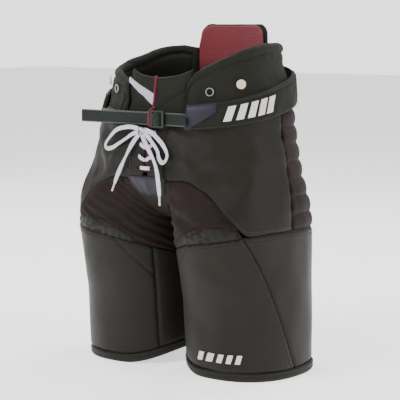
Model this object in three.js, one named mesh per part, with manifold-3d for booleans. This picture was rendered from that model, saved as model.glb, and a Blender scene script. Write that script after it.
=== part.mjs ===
// Ice-hockey pants: a padded waist over two padded legs, modelled as the sewn panels, guards,
// pads, strap, buckle and lace that it is made of. Millimetres, +Z up, front towards -Y,
// the wearer's left towards +X. The origin is on the floor, in the middle of the width and depth.
import * as THREE from 'three';
import { mergeVertices } from 'three/addons/utils/BufferGeometryUtils.js';
import Module from 'manifold-3d';

const wasm = await Module();
wasm.setup();

// ---------------------------------------------------------------- driving dimensions
// Each station is [height, centre x, centre y, half width, half depth] of one leg's outline.
const LEG_STATIONS = [
  [0, 105, 0, 96, 104],
  [120, 104, -6, 96, 111],
  [230, 102, -16, 98, 122],
  [330, 101, -16, 98, 124],
];
// The same for the single outline round the hips and the waist.
const HIP_STATIONS = [
  [230, 0, -14, 203, 132],
  [300, 0, -12, 192, 130],
  [350, 0, -10, 181, 129],
  [400, 0, -5, 169, 124],
  [440, 0, 0, 160, 117],
  [500, 0, 3, 155, 112],
  [570, 0, 6, 158, 114],
];
const OUTLINE_POWER = 2.3; // 2 is an ellipse, more is squarer
const CROTCH_Z = 250; // where the two legs part
const RISE_TOP_Z = 330; // above this the two legs are one outline
const SIDE_SHARE = 0.094; // how much more of the hips' outline the sides take than the middle
const MIDDLE_POWER = 4; // how closely the crotch's round U keeps to the middle
const SETBACK = 9.8; // from the outlines' zero to the middle of the finished depth

const GAP = 0.3; // between pieces that touch
const SHELL = 3.2; // outer fabric with its backing foam
const GUARD = 3; // moulded plastic plates
const FOAM = 8; // foam behind a plate
const HIP_GUARD = 11; // moulded cap bonded to its foam
const LINER = 1.5; // inner lining
const LAYER_GAP = 1.1; // between one layer and the next, at the corners of their facets

const HEM_BAND = 14; // height of the bound hem
const HEM_PROUD = 2; // how far the hem stands out of the leg
const HEM_DEPTH = 8; // how thick the hem is
const HEM_RISE = 24; // how much higher the hem is cut at the inner thigh
const HEM_RISE_START = 0.55; // share of the way in from the outside where that rise starts
const HEM_GAP = 0.6; // between the hem and the panels sewn to it
const LEG_TOP_Z = 222; // top of the lower leg at the inner thigh
const LEG_TOP_RISE = 18; // and how much higher it is at the outer side
const HIP_LOW_Z = 290; // bottom of the panels that stay with the hips
const CROTCH_HALF = 8; // half width of the crotch strip at its lowest point
const REAR_GUSSET_HALF = 11; // and at the top of the back

// Guards and pads inside, as shares of the way round a leg or the hips, or degrees of the waist.
const THIGH_PLATE = { from: 0.13, to: 0.6, aboveHem: 12, top: 214 };
const HIP_CAP = { from: 0.3, to: 0.6, low: 304, belowTop: 14 };
const HIP_LINER = { edge: 0.16, margin: 10 };
const TAILBONE = { from: 66, to: 114, low: 345, belowBelt: 16, thick: 6 };

const BELT_Z = 443.5; // middle of the belt at the side seam
const BELT_SLOPE = 0.24; // rise of the belt for each millimetre towards the back
const SHELL_ABOVE_BELT = 4; // from the middle of the belt up to the top of the shell
const BELT_HALF = 24; // half the height of the belt covers at the side
const BELT_FLARE = 0.032; // and how that grows towards the back
const BELT_THICK = 10;
const BELT_STANDOFF = 1.2; // from the shell to the inside of the belt covers
const LEFT_COVER_FRONT = -70.5; // degrees round the waist, 0 at the side, -90 at the front
const RIGHT_COVER_FRONT = -38;
const COVER_BACK = 89.8;
const COVER_PATCH = { from: 1, to: 19, share: 0.9, thick: 1 }; // degrees from the left cover's end

const WEBBING = 20; // width of the strap
const WEBBING_THICK = 1.6;
const STRAP_Z = 413.5; // middle of the strap
const STRAP_CENTRE = [-16, 62.5]; // the curve of the strap round the front
const STRAP_RADIUS = 194;
const STRAP_TAIL_END = -142; // x of the strap's free end
const STRAP_PULL = 14; // how far the tail feeds
const TAIL_Y = -135.2; // outer face of the tail
const BUCKLE = {
  left: 8, right: 36, rim: 3, thick: 4, bar: 5, gap: 0.4, corner: 5, slot: 4, middle: 7, clear: 0.8,
};

const FLY_HALF = 36; // half width of the fly facings
const FLY_SLIT = 2; // half the slit between them
const FLY_TOP_Z = 424;
const FLY_LOW_Z = 322;
const TONGUE = { half: 26, below: 6, thick: 2.5 };
const LACE = 3.6; // thickness of the round stand-in for the lace
const LACE_ROWS = [335, 354, 373, 392];
const LACE_HALF = 14; // from the slit to each eyelet

const BELLY_HALF = 64; // half width of the belly panel
const BELLY_LOW_Z = 430;
const BELLY_DEPTH = 3.5; // how far the belly panel sits behind the outline
const BELLY_THICK = 7;
const BELLY_TOP_Z = 480; // at the middle
const BELLY_TOP_RISE = 12; // and how much higher its top is at its ends
const PIPING = { half: 2.2, thick: 2, below: 6, above: 1 };
const PAD_FRONT = -62; // degrees round the waist of the kidney pads' front edges
const PAD_BACK = 55.5; // and of their back edges
const PAD_THICK = 17;
const PAD_FRONT_TOP_Z = 503;
const PAD_BACK_TOP_Z = 545;
const PAD_CORNER = 15; // degrees that the rounded front corner takes
const PAD_EDGE = 18; // height of the front edge below that corner
const SPINE_EDGE = 57; // degrees round the waist where the spine pad starts
const SPINE_TOP_Z = 562;
const SPINE_THICK = 9;
const SPINE_CORNER = { degrees: 11, drop: 24 };
const SPINE_LINING = { rim: 3, below: 5, corner: 10, thick: 3 };
const SNAP = { degrees: -56, z: 457, radius: 6, wire: 1 };
const BUTTON = { degrees: -34, z: 469, radius: 7.5, thick: 3 };
const PROUD = 0.9; // from the shell's outline to what is set on it

const PANEL_STEPS = [10, 5]; // round the body and up it

// ---------------------------------------------------------------- colours and finishes
const finish = (color, roughness, metalness = 0) => ({ color, roughness, metalness });
const NYLON = finish(0x34342f, 0.75);
const STRETCH = finish(0x2e2624, 0.85);
const SATIN = finish(0x454149, 0.5);
const PADDING = finish(0x30312d, 0.85);
const WEB = finish(0x2b322c, 0.7);
const PLASTIC = finish(0x1d1f1e, 0.45);
const PLATE = finish(0x3a3c40, 0.5);
const FOAM_BLACK = finish(0x26262a, 0.95);
const LINING = finish(0x221d1c, 0.9);
const RED_MESH = finish(0xa51f35, 0.85);
const RED_PIPING = finish(0x8c2440, 0.7);
const WHITE_LACE = finish(0xf0eff5, 0.8);
const METAL = finish(0xb9bcc0, 0.35, 0.9);
const CREAM = finish(0xe8dcc8, 0.4);

const pants = new THREE.Group();

function add(name, geometry, look, parent = pants) {
  const mesh = new THREE.Mesh(geometry, new THREE.MeshStandardMaterial(look));
  mesh.name = name;
  parent.add(mesh);
  return mesh;
}

// ---------------------------------------------------------------- outlines
const mix = (a, b, t) => a + (b - a) * t;
const clamp01 = (t) => Math.min(1, Math.max(0, t));
const radians = (degrees) => (degrees * Math.PI) / 180;
const smooth = (t) => t * t * (3 - 2 * t);

// The outline's centre and half sizes at a height, between the two stations next to it.
function station(table, z) {
  let i = 0;
  while (i < table.length - 2 && z > table[i + 1][0]) i += 1;
  const t = (z - table[i][0]) / (table[i + 1][0] - table[i][0]);
  return table[i].map((value, column) => mix(value, table[i + 1][column], t));
}

// A point of a squared ellipse, at an angle from +X, its half sizes cut by the inset.
function outlinePoint(table, degrees, z, inset) {
  const [, cx, cy, halfWidth, halfDepth] = station(table, z);
  const power = 2 / OUTLINE_POWER;
  const c = Math.cos(radians(degrees));
  const s = Math.sin(radians(degrees));
  return [
    cx + (halfWidth - inset) * Math.sign(c) * Math.abs(c) ** power,
    cy + (halfDepth - inset) * Math.sign(s) * Math.abs(s) ** power,
    z,
  ];
}

// The left half of the garment. u runs from the inner thigh or the front middle (0), round the
// outside (0.5), to the inner thigh or the back middle (1). Low down it is a whole leg and high up
// half of the hips. Between them the two outlines are mixed, fastest near the middle, where the
// crotch is a round U.
function skin(u, z, inset = 0) {
  const leg = outlinePoint(LEG_STATIONS, -180 + 360 * u, z, inset);
  const t = clamp01((z - CROTCH_Z) / (RISE_TOP_Z - CROTCH_Z));
  if (t === 0) return leg;
  const share = u - SIDE_SHARE * Math.sin(2 * Math.PI * u);
  const hip = outlinePoint(HIP_STATIONS, -90 + 180 * share, z, inset);
  const middle = Math.abs(2 * u - 1) ** MIDDLE_POWER;
  const weight = (1 - middle) * smooth(t) + middle * Math.sqrt(t * (2 - t));
  return leg.map((value, axis) => mix(value, hip[axis], weight));
}

// Where the left half's outline passes x, on the front (start 0) or the back (start 1).
function parameterAt(x, z, inset, start) {
  let near = 0;
  let far = 0.25;
  for (let i = 0; i < 30; i += 1) {
    const middle = (near + far) / 2;
    if (skin(Math.abs(start - middle), z, inset)[0] < x) near = middle;
    else far = middle;
  }
  return Math.abs(start - far);
}

// A point of the front or back at x, on either side of the middle.
function middlePoint(x, z, inset, start) {
  const u = parameterAt(Math.abs(x), z, inset, start);
  return [x, skin(u, z, inset)[1], z];
}

const waistPoint = (degrees, z, inset) => outlinePoint(HIP_STATIONS, degrees, z, inset);

const beltMiddle = (y) => BELT_Z + BELT_SLOPE * y;
const beltHalf = (y) => BELT_HALF + BELT_FLARE * y;
const shellTop = (y) => beltMiddle(y) + SHELL_ABOVE_BELT;
const padLow = (y) => shellTop(y) + GAP;

const mirrored = (point) => [-point[0], point[1], point[2]];
const onSide = (side, point) => (side === 'left' ? point : mirrored(point));

// ---------------------------------------------------------------- solids
// A closed solid from two grids of points, outer and inner, given as functions of two shares.
// A ring closes on itself along the first share.
function layered(outer, inner, steps, ring = false) {
  const [across, up] = steps;
  const columns = ring ? across : across + 1;
  const positions = [];
  for (const side of [outer, inner]) {
    for (let i = 0; i < columns; i += 1) {
      for (let j = 0; j <= up; j += 1) positions.push(...side(i / across, j / up));
    }
  }
  const layer = columns * (up + 1);
  const at = (i, j, side) => side * layer + (i % columns) * (up + 1) + j;
  const faces = [];
  const quad = (a, b, c, d) => faces.push(a, b, c, a, c, d);
  for (let i = 0; i < across; i += 1) {
    for (let j = 0; j < up; j += 1) {
      quad(at(i, j, 0), at(i + 1, j, 0), at(i + 1, j + 1, 0), at(i, j + 1, 0));
      quad(at(i, j, 1), at(i, j + 1, 1), at(i + 1, j + 1, 1), at(i + 1, j, 1));
    }
    quad(at(i, 0, 0), at(i, 0, 1), at(i + 1, 0, 1), at(i + 1, 0, 0));
    quad(at(i, up, 0), at(i + 1, up, 0), at(i + 1, up, 1), at(i, up, 1));
  }
  for (let j = 0; j < up && !ring; j += 1) {
    quad(at(0, j, 0), at(0, j + 1, 0), at(0, j + 1, 1), at(0, j, 1));
    quad(at(across, j, 0), at(across, j, 1), at(across, j + 1, 1), at(across, j + 1, 0));
  }
  return facingOut(positions, faces);
}

// Turns every face round if the solid came out inside out.
function facingOut(positions, faces) {
  const corner = (i) => new THREE.Vector3().fromArray(positions, 3 * faces[i]);
  let volume = 0;
  for (let i = 0; i < faces.length; i += 3) {
    volume += corner(i).dot(corner(i + 1).cross(corner(i + 2)));
  }
  if (volume < 0) faces.reverse();
  const geometry = new THREE.BufferGeometry();
  geometry.setAttribute('position', new THREE.Float32BufferAttribute(positions, 3));
  geometry.setIndex(faces);
  return geometry;
}

// A panel of the garment's left or right half, between two edges along u and two heights,
// each edge a function of the other direction.
function panel(side, edges, inset, thick, steps = PANEL_STEPS) {
  const across = (z, s) => mix(edges.from(z), edges.to(z), s);
  // The height of the lower or upper edge at a share of the way across.
  const heightOf = (edge, s) => {
    let z = edge(0.5);
    for (let i = 0; i < 5; i += 1) z = edge(across(z, s));
    return z;
  };
  const face = (depth) => (s, t) => {
    const low = heightOf(edges.low, s);
    const z = rowHeight(low, heightOf(edges.high, s), edges.knee ?? low, t, steps[1]);
    return onSide(side, skin(across(z, s), z, depth));
  };
  return layered(face(inset), face(inset + thick), steps);
}

// The height of a row of points, with one row put exactly where an edge has its knee.
function rowHeight(low, high, knee, t, rows) {
  const kneeRow = Math.round((rows * (knee - low)) / (high - low));
  if (kneeRow <= 0 || kneeRow >= rows) return mix(low, high, t);
  const share = kneeRow / rows;
  return t <= share ? mix(low, knee, t / share) : mix(knee, high, (t - share) / (1 - share));
}

// A band across the front or back middle, between two widths and two heights.
function middleBand(start, xLow, xHigh, low, high, inset, thick, steps) {
  const face = (depth) => (s, t) => {
    const z = mix(low, high, t);
    return middlePoint(mix(xLow(z), xHigh(z), s), z, depth, start);
  };
  return layered(face(inset), face(inset + thick), steps);
}

// A band round the waist between two angles, with its lower and upper edge as functions of the
// angle.
function waistBand(side, from, to, low, high, inset, thick, steps) {
  const face = (depth) => (s, t) => {
    const degrees = mix(from, to, s);
    return onSide(side, waistPoint(degrees, mix(low(degrees), high(degrees), t), depth));
  };
  return layered(face(inset), face(inset + thick), steps);
}

// A strip of webbing standing on edge, along a line of [x, y] points, with its thickness to the
// left of the way it runs.
function strip(points, middle, width, thick) {
  const side = (offset) => (s, t) => {
    const i = Math.round(s * (points.length - 1));
    const before = points[Math.max(i - 1, 0)];
    const after = points[Math.min(i + 1, points.length - 1)];
    const length = Math.hypot(after[0] - before[0], after[1] - before[1]);
    const normal = [-(after[1] - before[1]) / length, (after[0] - before[0]) / length];
    return [
      points[i][0] + normal[0] * offset,
      points[i][1] + normal[1] * offset,
      middle + (t - 0.5) * width,
    ];
  };
  return layered(side(0), side(thick), [points.length - 1, 1]);
}

// A round tube along a smooth line through the points.
function tube(points, thickness, sides = 8, spacing = 3) {
  const path = new THREE.CatmullRomCurve3(points.map((p) => new THREE.Vector3(...p)), false, 'centripetal');
  const outline = new THREE.Shape(
    Array.from({ length: sides }, (_, i) => {
      const angle = (2 * Math.PI * i) / sides;
      return new THREE.Vector2(Math.cos(angle), Math.sin(angle)).multiplyScalar(thickness / 2);
    }),
  );
  const steps = Math.max(2, Math.round(path.getLength() / (thickness * spacing)));
  return new THREE.ExtrudeGeometry(outline, { extrudePath: path, steps, bevelEnabled: false });
}

// Cuts tools out of a closed geometry.
function cut(geometry, tools) {
  const solid = (part) => {
    const bare = part.clone();
    bare.deleteAttribute('normal');
    bare.deleteAttribute('uv');
    const merged = mergeVertices(bare, 1e-4);
    const vertProperties = new Float32Array(merged.attributes.position.array);
    const triVerts = new Uint32Array(merged.index.array);
    return new wasm.Manifold(new wasm.Mesh({ numProp: 3, vertProperties, triVerts }));
  };
  const left = tools.reduce((rest, tool) => rest.subtract(solid(tool)), solid(geometry));
  const { vertProperties, triVerts } = left.getMesh();
  const result = new THREE.BufferGeometry();
  result.setAttribute('position', new THREE.BufferAttribute(vertProperties, 3));
  result.setIndex(new THREE.BufferAttribute(triVerts, 1));
  return result;
}

// The direction out of the waist at an angle, level with the floor.
function outwards(degrees, z) {
  const [ax, ay] = waistPoint(degrees - 1, z, 0);
  const [bx, by] = waistPoint(degrees + 1, z, 0);
  return new THREE.Vector3(by - ay, ax - bx, 0).normalize();
}

// ---------------------------------------------------------------- legs
const hemLow = (u) => {
  return HEM_RISE * smooth(clamp01((Math.abs(2 * u - 1) - HEM_RISE_START) / (1 - HEM_RISE_START)));
};
const hemTop = (u) => hemLow(u) + HEM_BAND;
const legTop = (u) => LEG_TOP_Z + LEG_TOP_RISE * Math.sin(Math.PI * u);
const SEAM = 0.0007; // half the gap between two panels, as a share of the way round
const FRONT_INNER = 0.11; // seam between the inner thigh and the front
const BACK_INNER = 0.89;
const BACK_OUTER = 0.64;
const DIAGONAL = { low: 0.505, high: 0.32, rise: 240 }; // from the outer hem up to the front
const diagonal = (z) => mix(DIAGONAL.low, DIAGONAL.high, z / DIAGONAL.rise);

function buildLeg(side) {
  const leg = new THREE.Group();
  pants.add(leg);
  const between = (from, to) => ({
    from: (z) => from(z) + SEAM,
    to: (z) => to(z) - SEAM,
    low: (u) => hemTop(u) + HEM_GAP,
    high: legTop,
  });
  const fixed = (u) => () => u;
  const part = (name) => `${side}_${name}`;

  const front = between(fixed(FRONT_INNER), diagonal);
  add(part('front_thigh_panel'), panel(side, front, 0, SHELL), NYLON, leg);
  const outer = between(diagonal, fixed(BACK_OUTER));
  add(part('side_thigh_panel'), panel(side, outer, 0, SHELL), NYLON, leg);
  const back = between(fixed(BACK_OUTER), fixed(BACK_INNER));
  add(part('back_thigh_panel'), panel(side, back, 0, SHELL), NYLON, leg);
  const inner = between(fixed(BACK_INNER - 1), fixed(FRONT_INNER));
  const innerThigh = {
    ...inner,
    low: (u) => hemTop((u + 1) % 1) + HEM_GAP,
    high: (u) => legTop(Math.abs(u)),
  };
  add(part('inner_thigh_panel'), panel(side, innerThigh, 0, SHELL, [8, 5]), STRETCH, leg);

  const hemFace = (depth) => (s, t) => {
    return onSide(side, skin(s, mix(hemLow(s), hemTop(s), t), depth));
  };
  const hem = layered(hemFace(-HEM_PROUD), hemFace(HEM_DEPTH - HEM_PROUD), [40, 1], true);
  add(part('hem_band'), hem, NYLON, leg);

  const { from, to, aboveHem, top } = THIGH_PLATE;
  const plate = { from: fixed(from), to: fixed(to), low: (u) => hemTop(u) + aboveHem, high: () => top };
  const plateDepth = SHELL + LAYER_GAP;
  add(part('thigh_guard_plate'), panel(side, plate, plateDepth, GUARD, [12, 3]), PLATE, leg);
  const foamDepth = plateDepth + GUARD + 2 * GAP;
  add(part('thigh_foam'), panel(side, plate, foamDepth, FOAM, [12, 3]), FOAM_BLACK, leg);

  const linerDepth = foamDepth + FOAM + LAYER_GAP;
  const linerFace = (depth) => (s, t) => onSide(side, skin(s, mix(hemTop(s), top, t), depth));
  const liner = layered(linerFace(linerDepth), linerFace(linerDepth + LINER), [32, 2], true);
  add(part('leg_liner'), liner, LINING, leg);
}

// The stretch fabric that joins a leg to the hips, open at the inner thigh above the crotch.
function buildStretchPanel(side) {
  const edge = (start) => (z) => {
    const height = Math.max(z, CROTCH_Z);
    return parameterAt(crotchHalf(height) + 2 * GAP, height, 0, start);
  };
  const edges = {
    from: edge(0),
    to: edge(1),
    low: (u) => legTop(u) + 2 * GAP,
    high: () => HIP_LOW_Z - 2 * GAP,
    knee: CROTCH_Z,
  };
  add(`${side}_stretch_panel`, panel(side, edges, 0, SHELL, [36, 4]), STRETCH);
}

// ---------------------------------------------------------------- hips
const FRONT_SIDE_SEAM = 0.275; // between the front panel and the hip panel
const HIP_BACK_SEAM = 0.54; // between the hip panel and the pleated stretch panel
const SEAT_SEAM = 0.8; // between the pleated panel and the seat

// Half widths of the two middle strips, front and back.
const crotchHalf = (z) => mix(CROTCH_HALF, FLY_HALF, clamp01((z - CROTCH_Z) / (FLY_LOW_Z - CROTCH_Z)));
const rearHalf = (z) => {
  return mix(CROTCH_HALF, REAR_GUSSET_HALF, clamp01((z - CROTCH_Z) / (RISE_TOP_Z - CROTCH_Z)));
};

function buildHips(side) {
  const part = (name) => `${side}_${name}`;
  const top = (u) => shellTop(skin(u, BELT_Z)[1]);
  const span = (from, to) => ({ from, to, low: () => HIP_LOW_Z, high: top, knee: FLY_LOW_Z });
  const fixed = (u) => () => u;
  const flyEdge = (z) => parameterAt(crotchHalf(z) + 2 * GAP, z, 0, 0);
  const rearEdge = (z) => parameterAt(rearHalf(z) + 2 * GAP, z, 0, 1);

  const front = span(flyEdge, fixed(FRONT_SIDE_SEAM - SEAM));
  add(part('front_panel'), panel(side, front, 0, SHELL, [8, 6]), NYLON);
  const hip = span(fixed(FRONT_SIDE_SEAM + SEAM), fixed(HIP_BACK_SEAM - SEAM));
  add(part('hip_panel'), panel(side, hip, 0, SHELL, [9, 6]), NYLON);
  const pleats = span(fixed(HIP_BACK_SEAM + SEAM), fixed(SEAT_SEAM - SEAM));
  add(part('pleated_back_panel'), panel(side, pleats, 0, SHELL, [8, 6]), STRETCH);
  const seat = span(fixed(SEAT_SEAM + SEAM), rearEdge);
  add(part('seat_panel'), panel(side, seat, 0, SHELL, [6, 6]), NYLON);

  const { from, to, low, belowTop } = HIP_CAP;
  const guard = { from: fixed(from), to: fixed(to), low: () => low, high: (u) => top(u) - belowTop };
  add(part('hip_guard'), panel(side, guard, SHELL + LAYER_GAP, HIP_GUARD, [12, 7]), PLATE);
}

const STRIP_MARGIN = 0.2; // inside the strips' own edges, beside the gaps that the panels leave
const PATCH_MARGIN = 6; // from the bottom of the hip panels up to the patch below the fly

function buildMiddle() {
  // The crotch strip runs down from the fly, under the body and up the back to the belt.
  const steps = 14;
  const patchLow = HIP_LOW_Z + PATCH_MARGIN;
  const frontTop = patchLow - 4;
  const backTop = shellTop(skin(1, BELT_Z)[1]);
  const crotchFace = (lift) => (s, t) => {
    const way = mix(-1, 1, s);
    const start = way < 0 ? 0 : 1;
    const topZ = way < 0 ? frontTop : backTop;
    const z = mix(CROTCH_Z, topZ, way * way);
    const y = skin(start, z)[1];
    const half = (way < 0 ? crotchHalf(z) : rearHalf(z)) - STRIP_MARGIN;
    const level = Math.max(0, 1 - Math.abs(way) * 4); // 1 under the body, 0 on the way up
    const lean = Math.sign(-way) * lift * (1 - level);
    return [mix(-half, half, t), y + lean, z + lift * level];
  };
  add('crotch_gusset', layered(crotchFace(0), crotchFace(SHELL), [2 * steps, 2]), STRETCH);

  const edge = (sign) => (z) => sign * (crotchHalf(z) - STRIP_MARGIN);
  const patch = middleBand(0, edge(-1), edge(1), patchLow, FLY_LOW_Z - GAP, 0, SHELL, [6, 3]);
  add('fly_gusset_patch', patch, SATIN);

  for (const [side, sign] of [['left', 1], ['right', -1]]) {
    const inner = () => sign * FLY_SLIT;
    const outer = () => sign * (FLY_HALF - STRIP_MARGIN);
    const facing = middleBand(0, inner, outer, FLY_LOW_Z, FLY_TOP_Z, 0, SHELL, [4, 6]);
    add(`${side}_fly_facing`, facing, NYLON);
  }
  const tongueDepth = SHELL + LAYER_GAP;
  const tongueEdge = (sign) => () => sign * TONGUE.half;
  const tongue = middleBand(0, tongueEdge(-1), tongueEdge(1), FLY_LOW_Z - TONGUE.below, BELLY_LOW_Z - 1,
    tongueDepth, TONGUE.thick, [4, 6]);
  add('fly_tongue', tongue, RED_MESH);

  const linerDepth = SHELL + LAYER_GAP + HIP_GUARD + LAYER_GAP;
  const linerFace = (depth) => (s, t) => {
    const { edge: start, margin } = HIP_LINER;
    const way = mix(start, 2 - start, s);
    const u = way < 1 ? way : 2 - way;
    const z = mix(HIP_LOW_Z + margin, shellTop(skin(u, BELT_Z)[1]) - margin, t);
    return onSide(way < 1 ? 'left' : 'right', skin(u, z, depth));
  };
  add('hip_liner', layered(linerFace(linerDepth), linerFace(linerDepth + LINER), [40, 6]), LINING);

  const guardFace = (depth) => (s, t) => {
    const { from, to, low, belowBelt } = TAILBONE;
    const high = beltMiddle(skin(1, BELT_Z)[1]) - belowBelt;
    return waistPoint(mix(from, to, s), mix(low, high, t), depth);
  };
  const guardDepth = SHELL + LAYER_GAP;
  const tail = layered(guardFace(guardDepth), guardFace(guardDepth + TAILBONE.thick), [8, 3]);
  add('tailbone_guard', tail, PLATE);
}

// ---------------------------------------------------------------- lacing
// The front of the fly at x, out from the skin by a distance.
const overFly = (x, z, out) => {
  const [px, py, pz] = middlePoint(x, z, 0, 0);
  return [px, py - out, pz];
};

function buildLacing() {
  const out = LACE / 2 + 2 * GAP; // lying on the facing
  const over = out + LACE + 0.5; // and of the strand that it crosses
  const [first, second, third, top] = LACE_ROWS;
  const half = LACE_HALF;
  const zigzag = [
    [half, top - 6, out], [0, (third + top) / 2, over], [-half, third, out], [0, (second + third) / 2, out],
    [half, second, out], [0, (first + second) / 2, over], [-half, first, out], [0, first - 1, out],
    [half, first, out], [0, (first + second) / 2, out], [-half, second, out],
    [0, (second + third) / 2, over], [half, third, out], [0, (third + top) / 2, out], [-half, top - 6, out],
  ];
  add('fly_lacing', tube(zigzag.map(([x, z, lift]) => overFly(x, z, lift)), LACE, 8, 1.6), WHITE_LACE);
}

// The bow: each route runs away from the knot, over the front of the pants.
const KNOT = { at: [-7, -139.1, 393], half: [8, 5.5, 8] };
const BOW = {
  right_lace_loop: [
    [-14.9, -139.9, 396.9], [-29, -139.5, 399], [-45, -138, 398], [-66, -134, 393], [-84, -131, 380],
    [-95, -129, 368], [-92, -129, 361], [-79, -130.5, 363], [-62, -133.5, 371], [-44, -137, 380],
    [-30, -140, 387], [-15.2, -140.5, 392.2],
  ],
  right_lace_tail: [
    [-13.2, -141.2, 387.7], [-23, -143, 376], [-34, -144.5, 359], [-48, -145, 335], [-58, -145, 316],
    [-62, -145, 307],
  ],
  left_lace_loop: [
    [0.8, -141.2, 395.6], [15, -143, 392], [27, -144, 384], [39, -145, 374], [48, -146, 361],
    [47, -147, 351], [40, -147.5, 346], [34, -148, 352], [30, -147.5, 364], [20, -147, 376],
    [0.3, -142.8, 391.2],
  ],
  left_lace_tail: [
    [-4.3, -143.8, 387.2], [6, -149.5, 377], [15, -151.5, 366], [26, -153, 351], [33, -154, 336],
    [37, -154.5, 318], [39, -154.5, 301], [39.5, -154.5, 293],
  ],
};
const AGLET = { length: 14, thickness: 3.2 };

function buildBow() {
  const knot = new THREE.SphereGeometry(1, 12, 8);
  knot.scale(...KNOT.half);
  add('lace_knot', knot, WHITE_LACE).position.set(...KNOT.at);
  for (const [name, route] of Object.entries(BOW)) add(name, tube(route, LACE), WHITE_LACE);
  for (const side of ['left', 'right']) {
    const route = BOW[`${side}_lace_tail`];
    const end = new THREE.Vector3(...route.at(-1));
    const way = end.clone().sub(new THREE.Vector3(...route.at(-2))).normalize();
    const aglet = new THREE.CylinderGeometry(AGLET.thickness / 2, AGLET.thickness / 2, AGLET.length, 8);
    const mesh = add(`${side}_aglet`, aglet, CREAM);
    mesh.quaternion.setFromUnitVectors(new THREE.Vector3(0, 1, 0), way);
    mesh.position.copy(end).addScaledVector(way, AGLET.length / 2 + GAP);
  }
}

// ---------------------------------------------------------------- waist
function buildPads() {
  // The front top corner is a quarter of an ellipse.
  for (const side of ['left', 'right']) {
    const low = (degrees) => padLow(waistPoint(degrees, BELT_Z, 0)[1]);
    const high = (degrees) => {
      const line = mix(PAD_FRONT_TOP_Z, PAD_BACK_TOP_Z, (degrees - PAD_FRONT) / (PAD_BACK - PAD_FRONT));
      const turn = clamp01((degrees - PAD_FRONT) / PAD_CORNER);
      return mix(low(degrees) + PAD_EDGE, line, Math.sqrt(1 - (1 - turn) ** 2));
    };
    const pad = waistBand(side, PAD_FRONT, PAD_BACK, low, high, 0, PAD_THICK, [22, 4]);
    add(`${side}_kidney_pad`, pad, PADDING);
  }

  const spineLow = () => padLow(waistPoint(90, BELT_Z, 0)[1]);
  const outline = (edge, top, corner) => (degrees) => {
    const turn = clamp01((90 - Math.abs(degrees - 90) - edge) / corner);
    return mix(top - SPINE_CORNER.drop, top, Math.sqrt(1 - (1 - turn) ** 2));
  };
  const spineHigh = outline(SPINE_EDGE, SPINE_TOP_Z, SPINE_CORNER.degrees);
  const spine = waistBand('left', SPINE_EDGE, 180 - SPINE_EDGE, spineLow, spineHigh, 0, SPINE_THICK, [16, 4]);
  add('spine_pad', spine, PADDING);
  const { rim, below, corner, thick } = SPINE_LINING; // rim is the black edge, in degrees
  const liningHigh = outline(SPINE_EDGE + rim, SPINE_TOP_Z - below, corner);
  const lining = waistBand('left', SPINE_EDGE + rim, 180 - SPINE_EDGE - rim, spineLow, liningHigh,
    SPINE_THICK + 2 * GAP, thick, [14, 3]);
  add('spine_pad_lining', lining, RED_MESH);
}

function buildBelly() {
  const high = (x) => BELLY_TOP_Z + BELLY_TOP_RISE * (x / BELLY_HALF) ** 2;
  const face = (half, inset, bottom, lift) => (s, t) => {
    const x = mix(-half, half, s);
    return middlePoint(x, mix(bottom, high(x) + lift, t), inset, 0);
  };
  const belly = layered(face(BELLY_HALF, BELLY_DEPTH, BELLY_LOW_Z, 0),
    face(BELLY_HALF, BELLY_DEPTH + BELLY_THICK, BELLY_LOW_Z, 0), [12, 4]);
  add('belly_panel', belly, PADDING);
  const { half, thick, below, above } = PIPING;
  const pipingDepth = BELLY_DEPTH - GAP;
  const piping = layered(face(half, pipingDepth - thick, BELLY_LOW_Z - below, above),
    face(half, pipingDepth, BELLY_LOW_Z - below, above), [2, 6]);
  add('belly_piping', piping, RED_PIPING);
}

function buildHardware() {
  for (const side of ['left', 'right']) {
    const place = (name, geometry, look, { degrees, z }, out, tilt) => {
      const mesh = add(`${side}_${name}`, geometry, look);
      const way = outwards(degrees, z);
      const at = new THREE.Vector3(...waistPoint(degrees, z, 0)).addScaledVector(way, out);
      if (side === 'right') {
        at.x = -at.x;
        way.x = -way.x;
      }
      mesh.quaternion.setFromUnitVectors(tilt, way);
      mesh.position.copy(at);
    };
    const ring = new THREE.TorusGeometry(SNAP.radius, SNAP.wire, 6, 16);
    place('snap_ring', ring, METAL, SNAP, SNAP.wire + PROUD, new THREE.Vector3(0, 0, 1));
    const disc = new THREE.CylinderGeometry(BUTTON.radius, BUTTON.radius, BUTTON.thick, 16);
    place('suspender_button', disc, CREAM, BUTTON, BUTTON.thick / 2 + PROUD, new THREE.Vector3(0, 1, 0));
  }
}

// ---------------------------------------------------------------- belt and strap
// A band round the waist, following the belt's slope, between two distances from the shell and
// two shares of the belt's height.
function beltPoint(degrees, out, share) {
  const [, y] = waistPoint(degrees, BELT_Z, 0);
  const z = beltMiddle(y) + beltHalf(y) * share;
  return waistPoint(degrees, z, -out);
}

function buildCovers() {
  const inner = BELT_STANDOFF;
  const outer = BELT_STANDOFF + BELT_THICK;
  const profile = [[outer, -1], [outer, 1], [inner, 1], [inner, -1]];
  for (const [side, front] of [['left', LEFT_COVER_FRONT], ['right', RIGHT_COVER_FRONT]]) {
    add(`${side}_belt_cover`, sweptProfile(side, front, COVER_BACK, profile, 30), PADDING);
  }
  const { from, to, share, thick } = COVER_PATCH;
  const low = outer + 0.5;
  const patch = [[low, -share], [low, share], [low + thick, share], [low + thick, -share]];
  const patchBand = sweptProfile('left', LEFT_COVER_FRONT + from, LEFT_COVER_FRONT + to, patch, 5);
  add('belt_cover_patch', patchBand, SATIN);
}

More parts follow.
